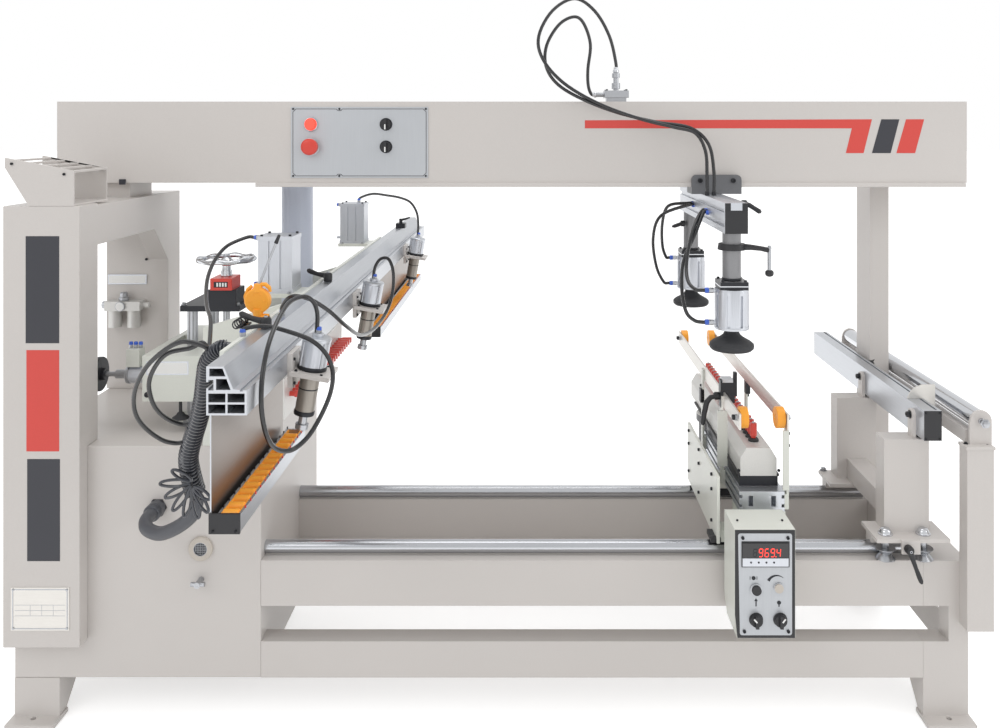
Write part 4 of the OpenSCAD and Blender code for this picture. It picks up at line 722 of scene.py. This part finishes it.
# Portal: plain bars, plate with its frame, lines and rivets, screws
FILM_Y, FRAME_Y, LINE_Y = (-365.6, -364.6), (-367.8, -366.8), (-367.5, -366.8)
portal = Kit("portal_bars", "machine", "film_black", "film_red")
portal.box((-1208, -1121), FILM_Y, (1008, 1286), "film_black")
portal.box((-1206, -1121), FILM_Y, (727, 990), "film_red")
portal.box((-1204, -1119), FILM_Y, (442, 707), "film_black")
portal.done()
plate = Kit("nameplate_frame", "machine", "steel", "panel", bevel=0.2)
for z in (266, 367.5):
    plate.box((-1242, -1098), FRAME_Y, (z, z + 2.5), "steel")
for x in (-1242, -1100.5):
    plate.box((x, x + 2.5), FRAME_Y, (266, 370), "steel")
for z in (300, 314, 328):
    plate.box((-1236, -1104), LINE_Y, (z, z + 1), "panel")
for x in (-1196, -1166, -1136):
    plate.box((x, x + 1), LINE_Y, (300, 328), "panel")
for x in (-1240, -1100):
    for z in (268, 368):
        plate.lathe([(3.4, 0), (3, 1.2), (1, 2)], (x, -367.6, z), FRONT, "steel", 16)
plate.done()
trim = Kit("portal_screws", "machine", "oxide", "film_black")
for x, z in ((-1244, 1474), (-1108, 1447)):
    trim.screw((x, -365, z), FRONT, 7, "oxide")
trim.screw((-1137, 218, 1143), FRONT, 8, "oxide")
trim.box((-1124, -1106), (-11, -4.6), (1398, 1414), "film_black")
trim.done()

# Beam: plain bars, control panel
BEAM_FACE = (0, -4.6, 0)
BAR_LOW, BAR_HIGH = 1492, 1593
bars = Kit("beam_bars", "machine", "film_red", "film_black")
long_bar = [(266, 1566), (1064, 1566), (1046, BAR_LOW), (1099, BAR_LOW), (1124, BAR_HIGH), (266, 1590)]
bars.plate(long_bar, 1, BEAM_FACE, "film_red")
for x, lean, key in ((1124, 28, "film_black"), (1197, 29, "film_red")):
    slanted = [(x, BAR_LOW), (x + 56, BAR_LOW), (x + lean + 54, BAR_HIGH), (x + lean, BAR_HIGH)]
    bars.plate(slanted, 1, BEAM_FACE, key)
bars.done()

PANEL_LEFT, PANEL_MIDDLE, PANEL_RIGHT = -606, -467, -208
PANEL_LOW, PANEL_HIGH, PANEL_FACE = 1424, 1624, -8
NOTCH, DENT = 9, 5
BUTTON_X, SELECTOR_X = -552, -328
UPPER, LOWER = 1578, 1511
panel = Kit("panel_trim", "machine", "graphite", "steel", "oxide", bevel=0.2)
steps = [
    (PANEL_LEFT, NOTCH), (PANEL_LEFT + NOTCH, 0), (PANEL_MIDDLE - NOTCH, 0), (PANEL_MIDDLE - DENT, DENT),
    (PANEL_MIDDLE + DENT, DENT), (PANEL_MIDDLE + NOTCH, 0), (PANEL_RIGHT - NOTCH, 0), (PANEL_RIGHT, NOTCH),
]
edge = [(x, PANEL_FACE - 0.1, PANEL_LOW + inset) for x, inset in steps]
edge += [(x, PANEL_FACE - 0.1, PANEL_HIGH - inset) for x, inset in reversed(steps)]
for a, b in zip(edge, edge[1:] + edge[:1]):
    panel.rod(a, b, 2.2, "graphite", sides=8)
columns = (PANEL_LEFT + 1, PANEL_MIDDLE, PANEL_RIGHT - 1)
panel.screws(columns, [PANEL_FACE], (PANEL_LOW, PANEL_HIGH), FRONT, 6, "oxide")
lamp_ring = [(20, 0), (21.5, 1.5), (21.5, 4), (19.2, 5.5), (17, 5.5)]
panel.lathe(lamp_ring, (BUTTON_X, PANEL_FACE, UPPER), FRONT, "steel")
panel.lathe([(25, 0), (26, 1), (26, 3), (18, 4.5)], (BUTTON_X, PANEL_FACE, LOWER), FRONT, "steel")
for z in (UPPER, LOWER):
    panel.lathe([(18, 0), (19, 1), (18.5, 3), (11, 3.5)], (SELECTOR_X, PANEL_FACE, z), FRONT, "oxide")
panel.done()
for body, z in (("selector_upper", UPPER), ("selector_lower", LOWER)):
    pointer = Kit(body + "_pointer", body, "white")
    pointer.box((SELECTOR_X - 1.8, SELECTOR_X + 1.8), (-31, -29.8), (z - 15, z), "white")
    pointer.done()
button_top = Kit("stop_button_ring", "stop_button", "red")
dome = [(24.4, 0), (24.4, 2), (22, 4.5), (16, 6), (0.5, 6.6)]
button_top.lathe(dome, (BUTTON_X, -31.5, LOWER), FRONT, "red", 48)
button_top.done()

# Cabinet: cable nut with its ribs, port with its mesh
GLAND, PORT = Vector((-883, -320, 563)), Vector((-768, -320, 455))
RIB_PITCH, WIRE_PITCH, MESH_RADIUS = 4.6, 4.6, 16.5
nut = Kit("cable_nut", "machine", "conduit", "black", "beige", "steel", bevel=0.3)
nut.lathe([(25, 0), (25, 6), (22, 8), (22, 10)], GLAND, FRONT, "black", 6)
ribs = [(19, 0)]
for i in range(7):
    ribs += [(22, 1 + i * RIB_PITCH), (22, 3.4 + i * RIB_PITCH), (19.5, 4 + i * RIB_PITCH)]
nut.lathe(ribs + [(17.4, 34)], GLAND + FRONT * 10, FRONT, "conduit")
nut.lathe([(31.5, 0), (31.5, 7), (30, 9), (18.5, 9), (17.5, 7), (17.5, 2)], PORT, FRONT, "beige", 48)
nut.lathe([(17.4, 0), (17.4, 3), (4, 4)], PORT, FRONT, "black", 32)
for i in range(-3, 4):
    aside = i * WIRE_PITCH
    half = math.sqrt(MESH_RADIUS**2 - aside**2)
    for run, across, depth in ((UP, RIGHT, 4.5), (RIGHT, UP, 4.8)):
        middle = PORT + FRONT * depth + across * aside
        nut.rod(middle - run * half, middle + run * half, 1.1, "steel", sides=6)
nut.done()

# Rounded corners along the bed beams
corners = Kit("bed_edges", "machine", "paint", bevel=0.6)
for y in (-320.3, -260.3, 80, 140):
    corners.rod((-609, y, 422.2), (1143, y, 422.2), 1.6, "paint", sides=8)
corners.done()

# Fence: end caps, clamps, fittings, cylinder screws, stop block, spring clip, roller notches
TILT, TILT_RIGHT = upright(90 - CLAMP_LEAN), upright(-CLAMP_LEAN)
CYLINDER_SIDES = (-655, -575)
ROLLER_PITCH = 34
fence = Kit("fence_trim", "machine", "black", "oxide", "steel", "blue", "alu", "red", bevel=0.4)
for y0, y1 in ((-987, -981.5), (678, 683.5)):
    fence.box((-516, -456), (y0, y1), (786, 825), "black")
    fence.screws((-508, -464), [y0], [792], FRONT, 5, "oxide")
for y in CLAMP_Y:
    mid = Vector((CLAMP_X, y, CLAMP_Z))
    fence.lathe([(32.5, 0), (33.5, 2), (33.5, 8), (32.5, 10)], mid + TILT * 5, TILT, "oxide")
    fence.lathe([(32, 0), (33, 2), (33, 8), (30, 11), (12, 12)], mid + TILT * 70, TILT, "alu")
    fence.lathe([(22.5, 0), (23.5, 2), (23.5, 9), (22.5, 11)], mid - TILT * 100, TILT, "oxide")
    fence.lathe([(22.4, 0), (22.4, 3)], mid - TILT * 40, TILT, "oxide")
    for k in range(4):
        a = math.radians(45 + 90 * k)
        tie = mid + (TILT_RIGHT * math.cos(a) + BACK * math.sin(a)) * 32.4
        fence.rod(tie + TILT * 15, tie + TILT * 70, 5, "steel")
    for dy in (-38, 38):
        for x in (-425, -368):
            aside = x - CLAMP_X
            low = CLAMP_Z - aside * math.tan(math.radians(CLAMP_LEAN))
            fence.screw(Vector((x, y + dy, low)) + TILT * (4 - 0.02 * aside), TILT, 7, "oxide")
    fence.fitting(mid + TILT * 89, TILT, (7, 15), (7, 14, 11))
    fence.screws([-431], (y - 30, y + 30), (992, 1046), RIGHT, 7, "oxide")
for at in ((-526, -744, 1112), (-505, -500, 1108), (-600, 1022, 1262)):
    fence.fitting(at, UP, (9, 14), (7, 14, 11.5))
for at in ((-666, -140, 1256), (-666, 980, 1256), (-666, -140, 1124)):
    fence.fitting(at, LEFT, (9, 14), (7, 14, 11.5))
for y in (-120, 1000):
    fence.screws(CYLINDER_SIDES, (y - 40, y + 40), [1262], UP, 8, "oxide")
    for x in CYLINDER_SIDES:
        fence.hex_bolt((x, y - 52, 1102), UP, 9, "steel")
fence.box((-512, -470), (1452, 1500), (1108, 1130), "oxide")
fence.box((-506, -478), (1500, 1540), (1108, 1120), "steel")
fence.rod((-492, 1476, 1130), (-492, 1476, 1150), 16, "oxide")
fence.tube([(-492, 1476, 1144), (-470, 1462, 1150), (-448, 1448, 1158)], [6, 5, 3.5], "oxide")
clip = []
for k in range(61):
    a = k * math.pi / 6
    clip.append((-560 + 9 * math.cos(a), -612 - 2.4 * a, 1124 + 9 * math.sin(a)))
fence.tube(clip, 1.6, "oxide", 8)
fence.rod((-560, -600, 1116), (-560, -650, 1116), 7, "oxide")
fence.box((-570, -550), (-652, -600), (1108.5, 1113), "oxide")
for y in (-860, -700, -180, 300, 800, 1200):
    fence.hex_bolt((-531, y, 1060), LEFT, 10, "steel")
for y in range(-945, -468, ROLLER_PITCH):
    fence.box((-459.6, -457), (y, y + 4), (817, 824.5), "red")
    fence.box((-502.5, -500), (y, y + 4), (819, 824.5), "black")
for y in range(732, 1950, ROLLER_PITCH):
    fence.box((-459.6, -457), (y, y + 4), (817, 824.5), "red")
fence.done()

# Petals of cable ties where the wrap opens: (angle, length) of each
PETALS = ((180, 72), (150, 52), (207, 70), (233, 68), (256, 70), (279, 74), (304, 66), (325, 46))
ties = Kit("cable_ties", "machine", "wrap")
for i, (angle, length) in enumerate(PETALS):
    ray = (upright(angle) + BACK * (0.08 * (i % 3) - 0.12)).normalized()
    across = ray.cross(BACK).normalized()
    start = Vector((-698, -566, 722)) + BACK * (6 - 3 * i)
    loop = []
    for k in range(25):
        t = 2 * math.pi * k / 24
        loop.append(start + ray * (8 + length * (1 - math.cos(t)) / 2) + across * 8 * math.sin(t))
    ties.tube(loop, 3.6, "wrap", 10)
ties.done()

# Left head: fittings, blank label, foot, bolts
left_trim = Kit("left_head_trim", "height_slide", "green", "blue", "steel", "white", "oxide", "rubber",
                "alu_z", bevel=0.4)
for x in (-1032, -1018, -1004):
    left_trim.fitting((x, -140, 942), UP, (10, 11), (8, 12, 10))
left_trim.box((-960, -850), (-200.8, -199.8), (885, 915), "white")
left_trim.box((-964, -846), (-200.5, -199.6), (881, 919), "alu_z")
left_trim.rod((-873, -188, 808), (-873, -188, 772), 9, "rubber")
rubber_foot = [(4, 0), (9, -3), (12, -9), (22, -15), (24, -19), (20, -20)]
left_trim.lathe(rubber_foot, (-873, -188, 776), UP, "rubber", 32)
for x in (-962, -790):
    left_trim.screw((x, -200, 826), FRONT, 10, "oxide", washer=True)
left_trim.lathe([(26, 0), (27, 2), (27, 8), (25.5, 9)], (-1040, -140, 868), RIGHT, "steel")
left_trim.done()

# Filter and regulator: bowls, knobs, gauge, blank label
air = Kit("air_service", "machine", "steel", "cast", "white", "alu_z", bevel=0.6)
bowl = [(20.5, 0), (20.5, 5), (19.5, 6), (18.5, 40), (16, 52), (8, 56)]
for x in (-1228, -1168):
    air.lathe(bowl, (x, 195, 985), DOWN, "cast", 32)
air.lathe([(14, 0), (16, 2), (16, 10), (12, 14), (12, 24), (9, 27)], (-1200, 195, 1014), UP, "steel", 32)
air.lathe([(12, 0), (12, 14), (10, 16)], (-1252, 195, 1000), LEFT, "steel", 24)
air.rod((-1200, 170, 1000), (-1200, 163, 1000), 30, "steel")
air.rod((-1200, 163, 1000), (-1200, 162, 1000), 26, "white")
air.box((-1262, -1136), (216.5, 218.4), (1062, 1094), "alu_z")
air.box((-1258, -1140), (216.0, 218.4), (1066, 1090), "white")
air.done()

# Height counter with its blank digits, screws and bolts of the plate under it
counter = Kit("height_counter", "machine", "red", "oxide", "steel", "white", bevel=0.8)
counter.box((-806, -754), (-131.5, -129.5), (1106, 1134), "red")
counter.box((-800, -760), (-132.5, -131), (1112, 1128), "oxide")
for x in (-792, -784, -776, -768):
    counter.box((x, x + 5), (-133.2, -132.2), (1114.5, 1125.5), "white")
counter.screws((-812, -748), (-112, -48), [1057], UP, 8, "oxide")
for x in (-895, -740):
    for y in (-105, 105):
        counter.hex_bolt((x, y, 1057), UP, 13, "steel")
counter.done()

# Carriage: wheel axles and screws of the arms, work stop, clamping levers
arms = Kit("carriage_trim", "carriage", "oxide", "steel", "black", bevel=0.4)
for x, out, key in ((651, LEFT, "oxide"), (785, RIGHT, "steel")):
    for y in (-302, 624):
        at = Vector((x, y, 796))
        arms.rod(at - out * 4, at + out * 3, 17, "steel")
        arms.lathe([(7.5, 0), (7.5, 6), (6, 8), (3, 8.5)], at + out * 3, out, key, 6)
for x, y, out in ((645, -126, LEFT), (645, 160, LEFT), (791, -300, RIGHT), (791, 160, RIGHT)):
    arms.screws([x], [y], (720, 752), out, 8, "oxide")
for x, y in ((648, -138), (782, -312)):
    arms.screw((x, y, 742), FRONT, 6, "oxide")
arms.screws([598], (-250, -60, 110), (500, 585, 625), LEFT, 9, "oxide")
# The stop is notched below, where the raised gearbox comes up beside it
arms.box((645, 671), (-134, -106), (770, 784), "oxide")
arms.box((645, 686), (-134, -106), (783, 846), "oxide")
arms.box((650, 680), (-137, -103), (842, 852), "steel")
arms.box((684, 694), (-126, -112), (800, 868), "oxide")
arms.lathe([(10, 0), (11, 2), (11, 14), (7, 18)], (645, -120, 800), LEFT, "black", 28)
handle = [(636, -124, 800), (618, -128, 798), (606, -132, 786), (598, -136, 756), (594, -138, 728),
          (593, -138, 722)]
arms.tube(handle, [6, 7, 8, 7.5, 7, 3], "black", 14)
arms.box((783, 797), (146, 172), (728, 776), "oxide")
arms.box((640, 652), (148, 172), (700, 742), "oxide")
arms.box((583, 612), (-296, -250), (464, 476), "oxide")
arms.lathe([(8, 0), (9, 1), (9, 24), (6, 27)], (610, -300, 470), LEFT, "black", 24)
arms.done()

# Right head: sleeves and tips of the chucks, except the middle one, which turns; screws, base plate
HEAD_FRONT = -275.5
HEAD_X = 718
CHUCKS, CHUCK_PITCH = 21, 32
chucks = Kit("chuck_bases", "boring_head", "oxide", "steel", "black", bevel=0.3)
for i in range(CHUCKS):
    y = HEAD_FRONT + 57.5 + i * CHUCK_PITCH
    if i != CHUCKS // 2:
        chucks.lathe([(14.5, 0), (14.5, 5), (12, 8), (11, 9)], (HEAD_X, y, 704.8), UP, "black", 24)
        chucks.rod((HEAD_X, y, 753), (HEAD_X, y, 757), 8, "steel")
chucks.screws((664, 772), [HEAD_FRONT], [645], FRONT, 8, "oxide")
chucks.box((662, 774), (HEAD_FRONT + 2, HEAD_FRONT + 660), (628, 634), "black")
chucks.done()

# Display box: face with its panel, number, marks and rings
FACE_X, FACE_Y, FACE_TOP = 609, -470, 570
SEGMENTS = {
    "a": ((0.18, 0.0), (0.82, 0.1)), "g": ((0.18, 0.45), (0.82, 0.55)), "d": ((0.18, 0.9), (0.82, 1.0)),
    "f": ((0.0, 0.08), (0.16, 0.47)), "b": ((0.84, 0.08), (1.0, 0.47)),
    "e": ((0.0, 0.53), (0.16, 0.92)), "c": ((0.84, 0.53), (1.0, 0.92)),
}
face = Kit("display_face", "carriage", "black", "panel", "lens", "digit", "oxide", "steel", "alu_z")


def spot(u, v, depth=0):
    """Place in front of the face, in mm from its left and from its top"""
    return Vector((FACE_X + u, FACE_Y - depth, FACE_TOP - v))


def patch(u, v, depth, key):
    """Flat patch on the face from its corners in mm from the left and from the top"""
    x, z = (FACE_X + u[0], FACE_X + u[1]), (FACE_TOP - v[1], FACE_TOP - v[0])
    face.box(x, (FACE_Y - depth, FACE_Y + 0.4), z, key)


def digit(u, v, width, height, lit, key, depth, slant=1.6):
    """Slanted seven-segment digit, with the segments that are lit"""
    for name in lit:
        (left, top), (right, low) = SEGMENTS[name]
        corners = []
        for a, b in ((left, low), (right, low), (right, top), (left, top)):
            corners.append((u + a * width + slant * (0.5 - b), -(v + b * height)))
        face.plate(corners, 0.5, spot(0, 0, depth), key)


face.plate([(2, -1), (151, -1), (151, -269), (8, -269), (2, -212)], 0.9, spot(0, 0, 0.1), "black")
CORNER = 6
panel_edge = []
for x, z, start in ((143.5, -262, 270), (143.5, -9.5, 0), (9.5, -9.5, 90), (14, -262, 180)):
    x += -CORNER if x > 100 else CORNER
    z += CORNER if z < -100 else -CORNER
    for k in range(7):
        a = math.radians(start + 15 * k)
        panel_edge.append((x + CORNER * math.cos(a), z + CORNER * math.sin(a)))
face.plate(panel_edge, 0.9, spot(0, 0, 0.7), "panel")
for u, v in ((21, 20), (133, 20), (25, 252), (134, 252)):
    face.screw(spot(u, v, 1.4), FRONT, 8, "oxide")
patch((18, 136), (31, 92), 4.4, "black")
patch((20, 134), (33, 68), 5.0, "lens")
patch((20, 134), (70, 90), 5.0, "alu_z")
for u in (41, 60, 79, 98):
    face.lathe([(2.6, 0), (2.3, 0.8), (1, 1.1)], spot(u, 80, 5), FRONT, "oxide", 16)
digit(46, 46, 10, 20, "abcdefg", "oxide", 4.9)
for k, lit in enumerate(("abcdfg", "acdefg", "abcdfg", "bcfg")):
    digit(60 + 14.6 * k, 45, 10.6, 21.5, lit, "digit", 5.2)
patch((101.3, 103.6), (64.5, 66.8), 5.6, "digit")
for u, v in ((48, 120), (111, 181)):
    face.lathe([(5, 0), (5, 0.8), (1, 1)], spot(u, v, 1.4), FRONT, "oxide", 24)
patch((109.5, 112.5), (185, 191), 2.2, "oxide")
for u in (38.5, 55.5):
    patch((u, u + 1.4), (116, 124), 2.2, "oxide")
WEDGE_RADIUS = 26
wedge = []
for k in range(9):
    wedge.append((WEDGE_RADIUS, 150 - 13 * k))
for k in range(9):
    wedge.append((WEDGE_RADIUS - 0.6 - 0.85 * k, 46 + 13 * k))
wedge = [(104 + r * math.cos(math.radians(a)), -138 + r * math.sin(math.radians(a))) for r, a in wedge]
face.plate(wedge, 0.8, spot(0, 0, 1.4), "oxide")
patch((52.6, 55.4), (176, 190), 2.2, "oxide")
face.plate([(49.5, -177), (58.5, -177), (54, -170)], 0.8, spot(0, 0, 1.4), "oxide")
face.lathe([(14, 0), (15, 1), (15, 4), (11.5, 5)], (663, -470.8, 422), FRONT, "steel", 36)
face.lathe([(12, 0), (13, 1), (13, 3.5), (10, 4)], (719, -470.8, 426), FRONT, "steel", 36)
face.done()
cover = Kit("display_cover", "carriage", "green", "oxide", bevel=0.8)
cover.screws((628, 742), [-420], [FACE_TOP], UP, 6, "oxide")
cover.done()
for body, x, lean in (("knob_left", 663, -42), ("knob_right", 723, 38)):
    mark = Kit(body + "_mark", body, "white", "black")
    bar = [(-1.8, 2), (1.8, 2), (1.8, 13.5), (-1.8, 13.5)]
    mark.plate(bar, 0.8, (x, -490.3, 347), "white", upright(-lean), upright(90 - lean))
    mark.lathe([(16, 0), (17.5, 1.5), (17, 3), (15, 4)], (x, -470.8, 347), FRONT, "black")
    mark.done()

# Stand: domed bolts, screws, cap, lever on the bar
stand = Kit("stand_trim", "stand", "chrome", "oxide", "steel", "black", bevel=0.4)
for x in WHEEL_X:
    stand.lathe([(19, 0), (19, 3), (16, 4), (15, 10), (11, 15), (5, 17.5)], (x, -313, 490), UP, "chrome", 36)
    stand.lathe([(16, 0), (16, 4), (13, 7), (6, 8)], (x, -313, 426), DOWN, "chrome", 32)
for x in (1025, 1165):
    stand.hex_bolt((x, 140, 490), UP, 16, "steel")
for y in (-273, 107):
    stand.screw((1127, y, 795), LEFT, 15, "oxide", washer=True)
    for x in (1149, 1172):
        stand.lathe([(5.4, 0), (8, 0.5), (8, 6), (5.4, 6.5)], (x, y - 6, 737), UP, "oxide", 6)
        stand.rod((x, y - 6, 736), (x, y - 6, 745), 10.6, "oxide")
stand.screws((1142, 1179), [-339], (750, 818), FRONT, 5, "oxide")
stand.box((1137.5, 1183.5), (594.5, 598), (745.5, 823.5), "black")
stand.lever((1204, 205, 805), (-0.62, 0, 0.78), (0.78, 0, 0.62), 60, 18, "black")
stand.done()
ears = Kit("roller_ear_bolts", "machine", "steel", "oxide", bevel=0.3)
for y, out in ((-366, FRONT), (656, BACK)):
    ears.lathe([(13, 0), (13, 2), (9.5, 3), (9.5, 9), (7, 10.5)], (1284, y, 799), out, "steel", 6)
for x in (1246, 1300):
    ears.hex_bolt((x, -340, 738), UP, 9, "oxide")
ears.done()

# Pressing unit: flange screws, cap, cylinder trim, fittings, levers
press = Kit("press_trim", "clamp_carriage", "oxide", "steel", "black", "blue", "alu_z", "chrome", bevel=0.4)
press.screws((607, 705), [-25], [1411], FRONT, 14, "oxide")
press.box((625, 655), (-360, -354), (1352, 1372), "alu_z")
press.box((611, 669), (-359.6, -358.8), (1293, 1351), "black")
for y in PRESS_Y:
    press.screws((PRESS_X - 30, PRESS_X + 30), (y - 30, y + 30), [1161], UP, 8, "oxide")
    press.box((PRESS_X - 38, PRESS_X + 38), (y - 38, y + 38), (1148, 1151), "chrome")
    press.lathe([(25.5, 0), (26, 1), (26, 6), (24.6, 8)], (PRESS_X, y, 1161), UP, "oxide")
    press.lathe([(45.4, 0), (46, 1), (46, 7), (45.4, 8)], (PRESS_X, y, 1033), UP, "alu_z", 48)
    for z in (1134, 1049):
        press.rod((578, y, z), (592, y, z), 15, "steel", sides=6)
        press.lathe([(6, 0), (7.6, 2), (7.6, 9), (6.4, 12)], (580, y, z), LEFT, "blue", 20)
for y, z in ((-132, 1326), (-110, 1330), (98, 1328), (120, 1332)):
    press.rod((611, y, z), (603, y, z), 14, "blue", 12)
for x in (616, 636):
    press.rod((x, -84, 1371), (x, -84, 1382), 14, "oxide", 12.5)
lever_hub = [(9, 0), (10, 2), (10, 12), (6, 15)]
press.lathe(lever_hub, (670, -286, 1364), RIGHT, "black", 28)
front_lever = [(680, -286, 1364), (690, -290, 1360), (702, -296, 1352), (714, -302, 1344), (718, -304, 1342)]
press.tube(front_lever, [6, 6.5, 6, 6.5, 3], "black", 14)
press.lathe(lever_hub, (616, 300, 1250), LEFT, "black", 28)
far_lever = [(606, 300, 1250), (594, 296, 1246), (580, 292, 1242), (572, 290, 1241)]
press.tube(far_lever, [6, 6.5, 6, 3], "black", 14)
press.done()

# Beam manifold connectors
manifold = Kit("manifold_trim", "machine", "steel", "chrome", "oxide", bevel=0.4)
manifold.lathe([(8, 0), (9.5, 1), (9.5, 8), (7, 10), (7, 16), (6, 17)], (368, 94, 1738), UP, "chrome", 28)
manifold.lathe([(8, 0), (9, 1), (9, 7), (6.5, 9), (6, 13)], (308, 94, 1670), LEFT, "chrome", 28)
manifold.screws((338, 398), (70, 118), [1682], UP, 7, "oxide")
manifold.done()


# Floor, light and close of the scene
def either_ray(tree, first, second):
    """Output that is 1 for rays of either kind"""
    rays = tree.nodes.new("ShaderNodeLightPath").outputs
    either = tree.nodes.new("ShaderNodeMath")
    either.operation = "MAXIMUM"
    return wire(tree, either, {0: rays[first], 1: rays[second]})[0]


def stage_plane():
    """Pale matte floor that takes shadows and glows a little to the camera and in reflections"""
    bm = bmesh.new()
    bmesh.ops.create_grid(bm, x_segments=2, y_segments=2, size=60)
    mesh = bpy.data.meshes.new("floor")
    bm.to_mesh(mesh)
    bm.free()
    floor = bpy.data.objects.new("floor", mesh)
    floor.location.z = -0.0005
    scene.collection.objects.link(floor)
    mat = bpy.data.materials.new("floor")
    mat.use_nodes = True
    tree = mat.node_tree
    new = tree.nodes.new
    tree.nodes.remove(tree.nodes["Principled BSDF"])
    matte = wire(tree, new("ShaderNodeBsdfDiffuse"), {"Color": (0.86, 0.86, 0.86, 1)})[0]
    pale = wire(tree, new("ShaderNodeEmission"), {"Strength": 0.52})[0]
    both = wire(tree, new("ShaderNodeAddShader"), {0: matte, 1: pale})[0]
    seen = either_ray(tree, "Is Camera Ray", "Is Glossy Ray")
    shown = wire(tree, new("ShaderNodeMixShader"), {0: seen, 1: matte, 2: both})[0]
    wire(tree, tree.nodes["Material Output"], {"Surface": shown})
    mesh.materials.append(mat)


def area_light(name, at, aim, size, watts):
    """Rectangular light at a place, turned toward its aim"""
    data = bpy.data.lights.new(name, "AREA")
    data.shape = "RECTANGLE"
    data.size, data.size_y = size
    data.energy = watts
    lamp = bpy.data.objects.new(name, data)
    lamp.location = at
    lamp.rotation_euler = (Vector(aim) - Vector(at)).to_track_quat("-Z", "Y").to_euler()
    scene.collection.objects.link(lamp)


stage_plane()
area_light("key", (-2.6, -3.6, 3.6), (0.1, 0, 0.7), (2.6, 2.0), 26)
area_light("side", (4.2, -1.6, 2.6), (0.2, 0, 0.8), (2.0, 2.4), 24)
area_light("top", (0.2, 0.4, 5.0), (0.2, 0, 0.8), (3.4, 2.4), 42)
world = bpy.data.worlds.new("studio")
world.use_nodes = True
sky = world.node_tree
power = wire(sky, sky.nodes.new("ShaderNodeMapRange"), {
    "Value": either_ray(sky, "Is Camera Ray", "Is Transmission Ray"), "To Min": 0.90, "To Max": 1.0,
})["Result"]
wire(sky, sky.nodes["Background"], {"Color": (1, 1, 1, 1), "Strength": power})
scene.world = world
scene.view_settings.view_transform = "Standard"
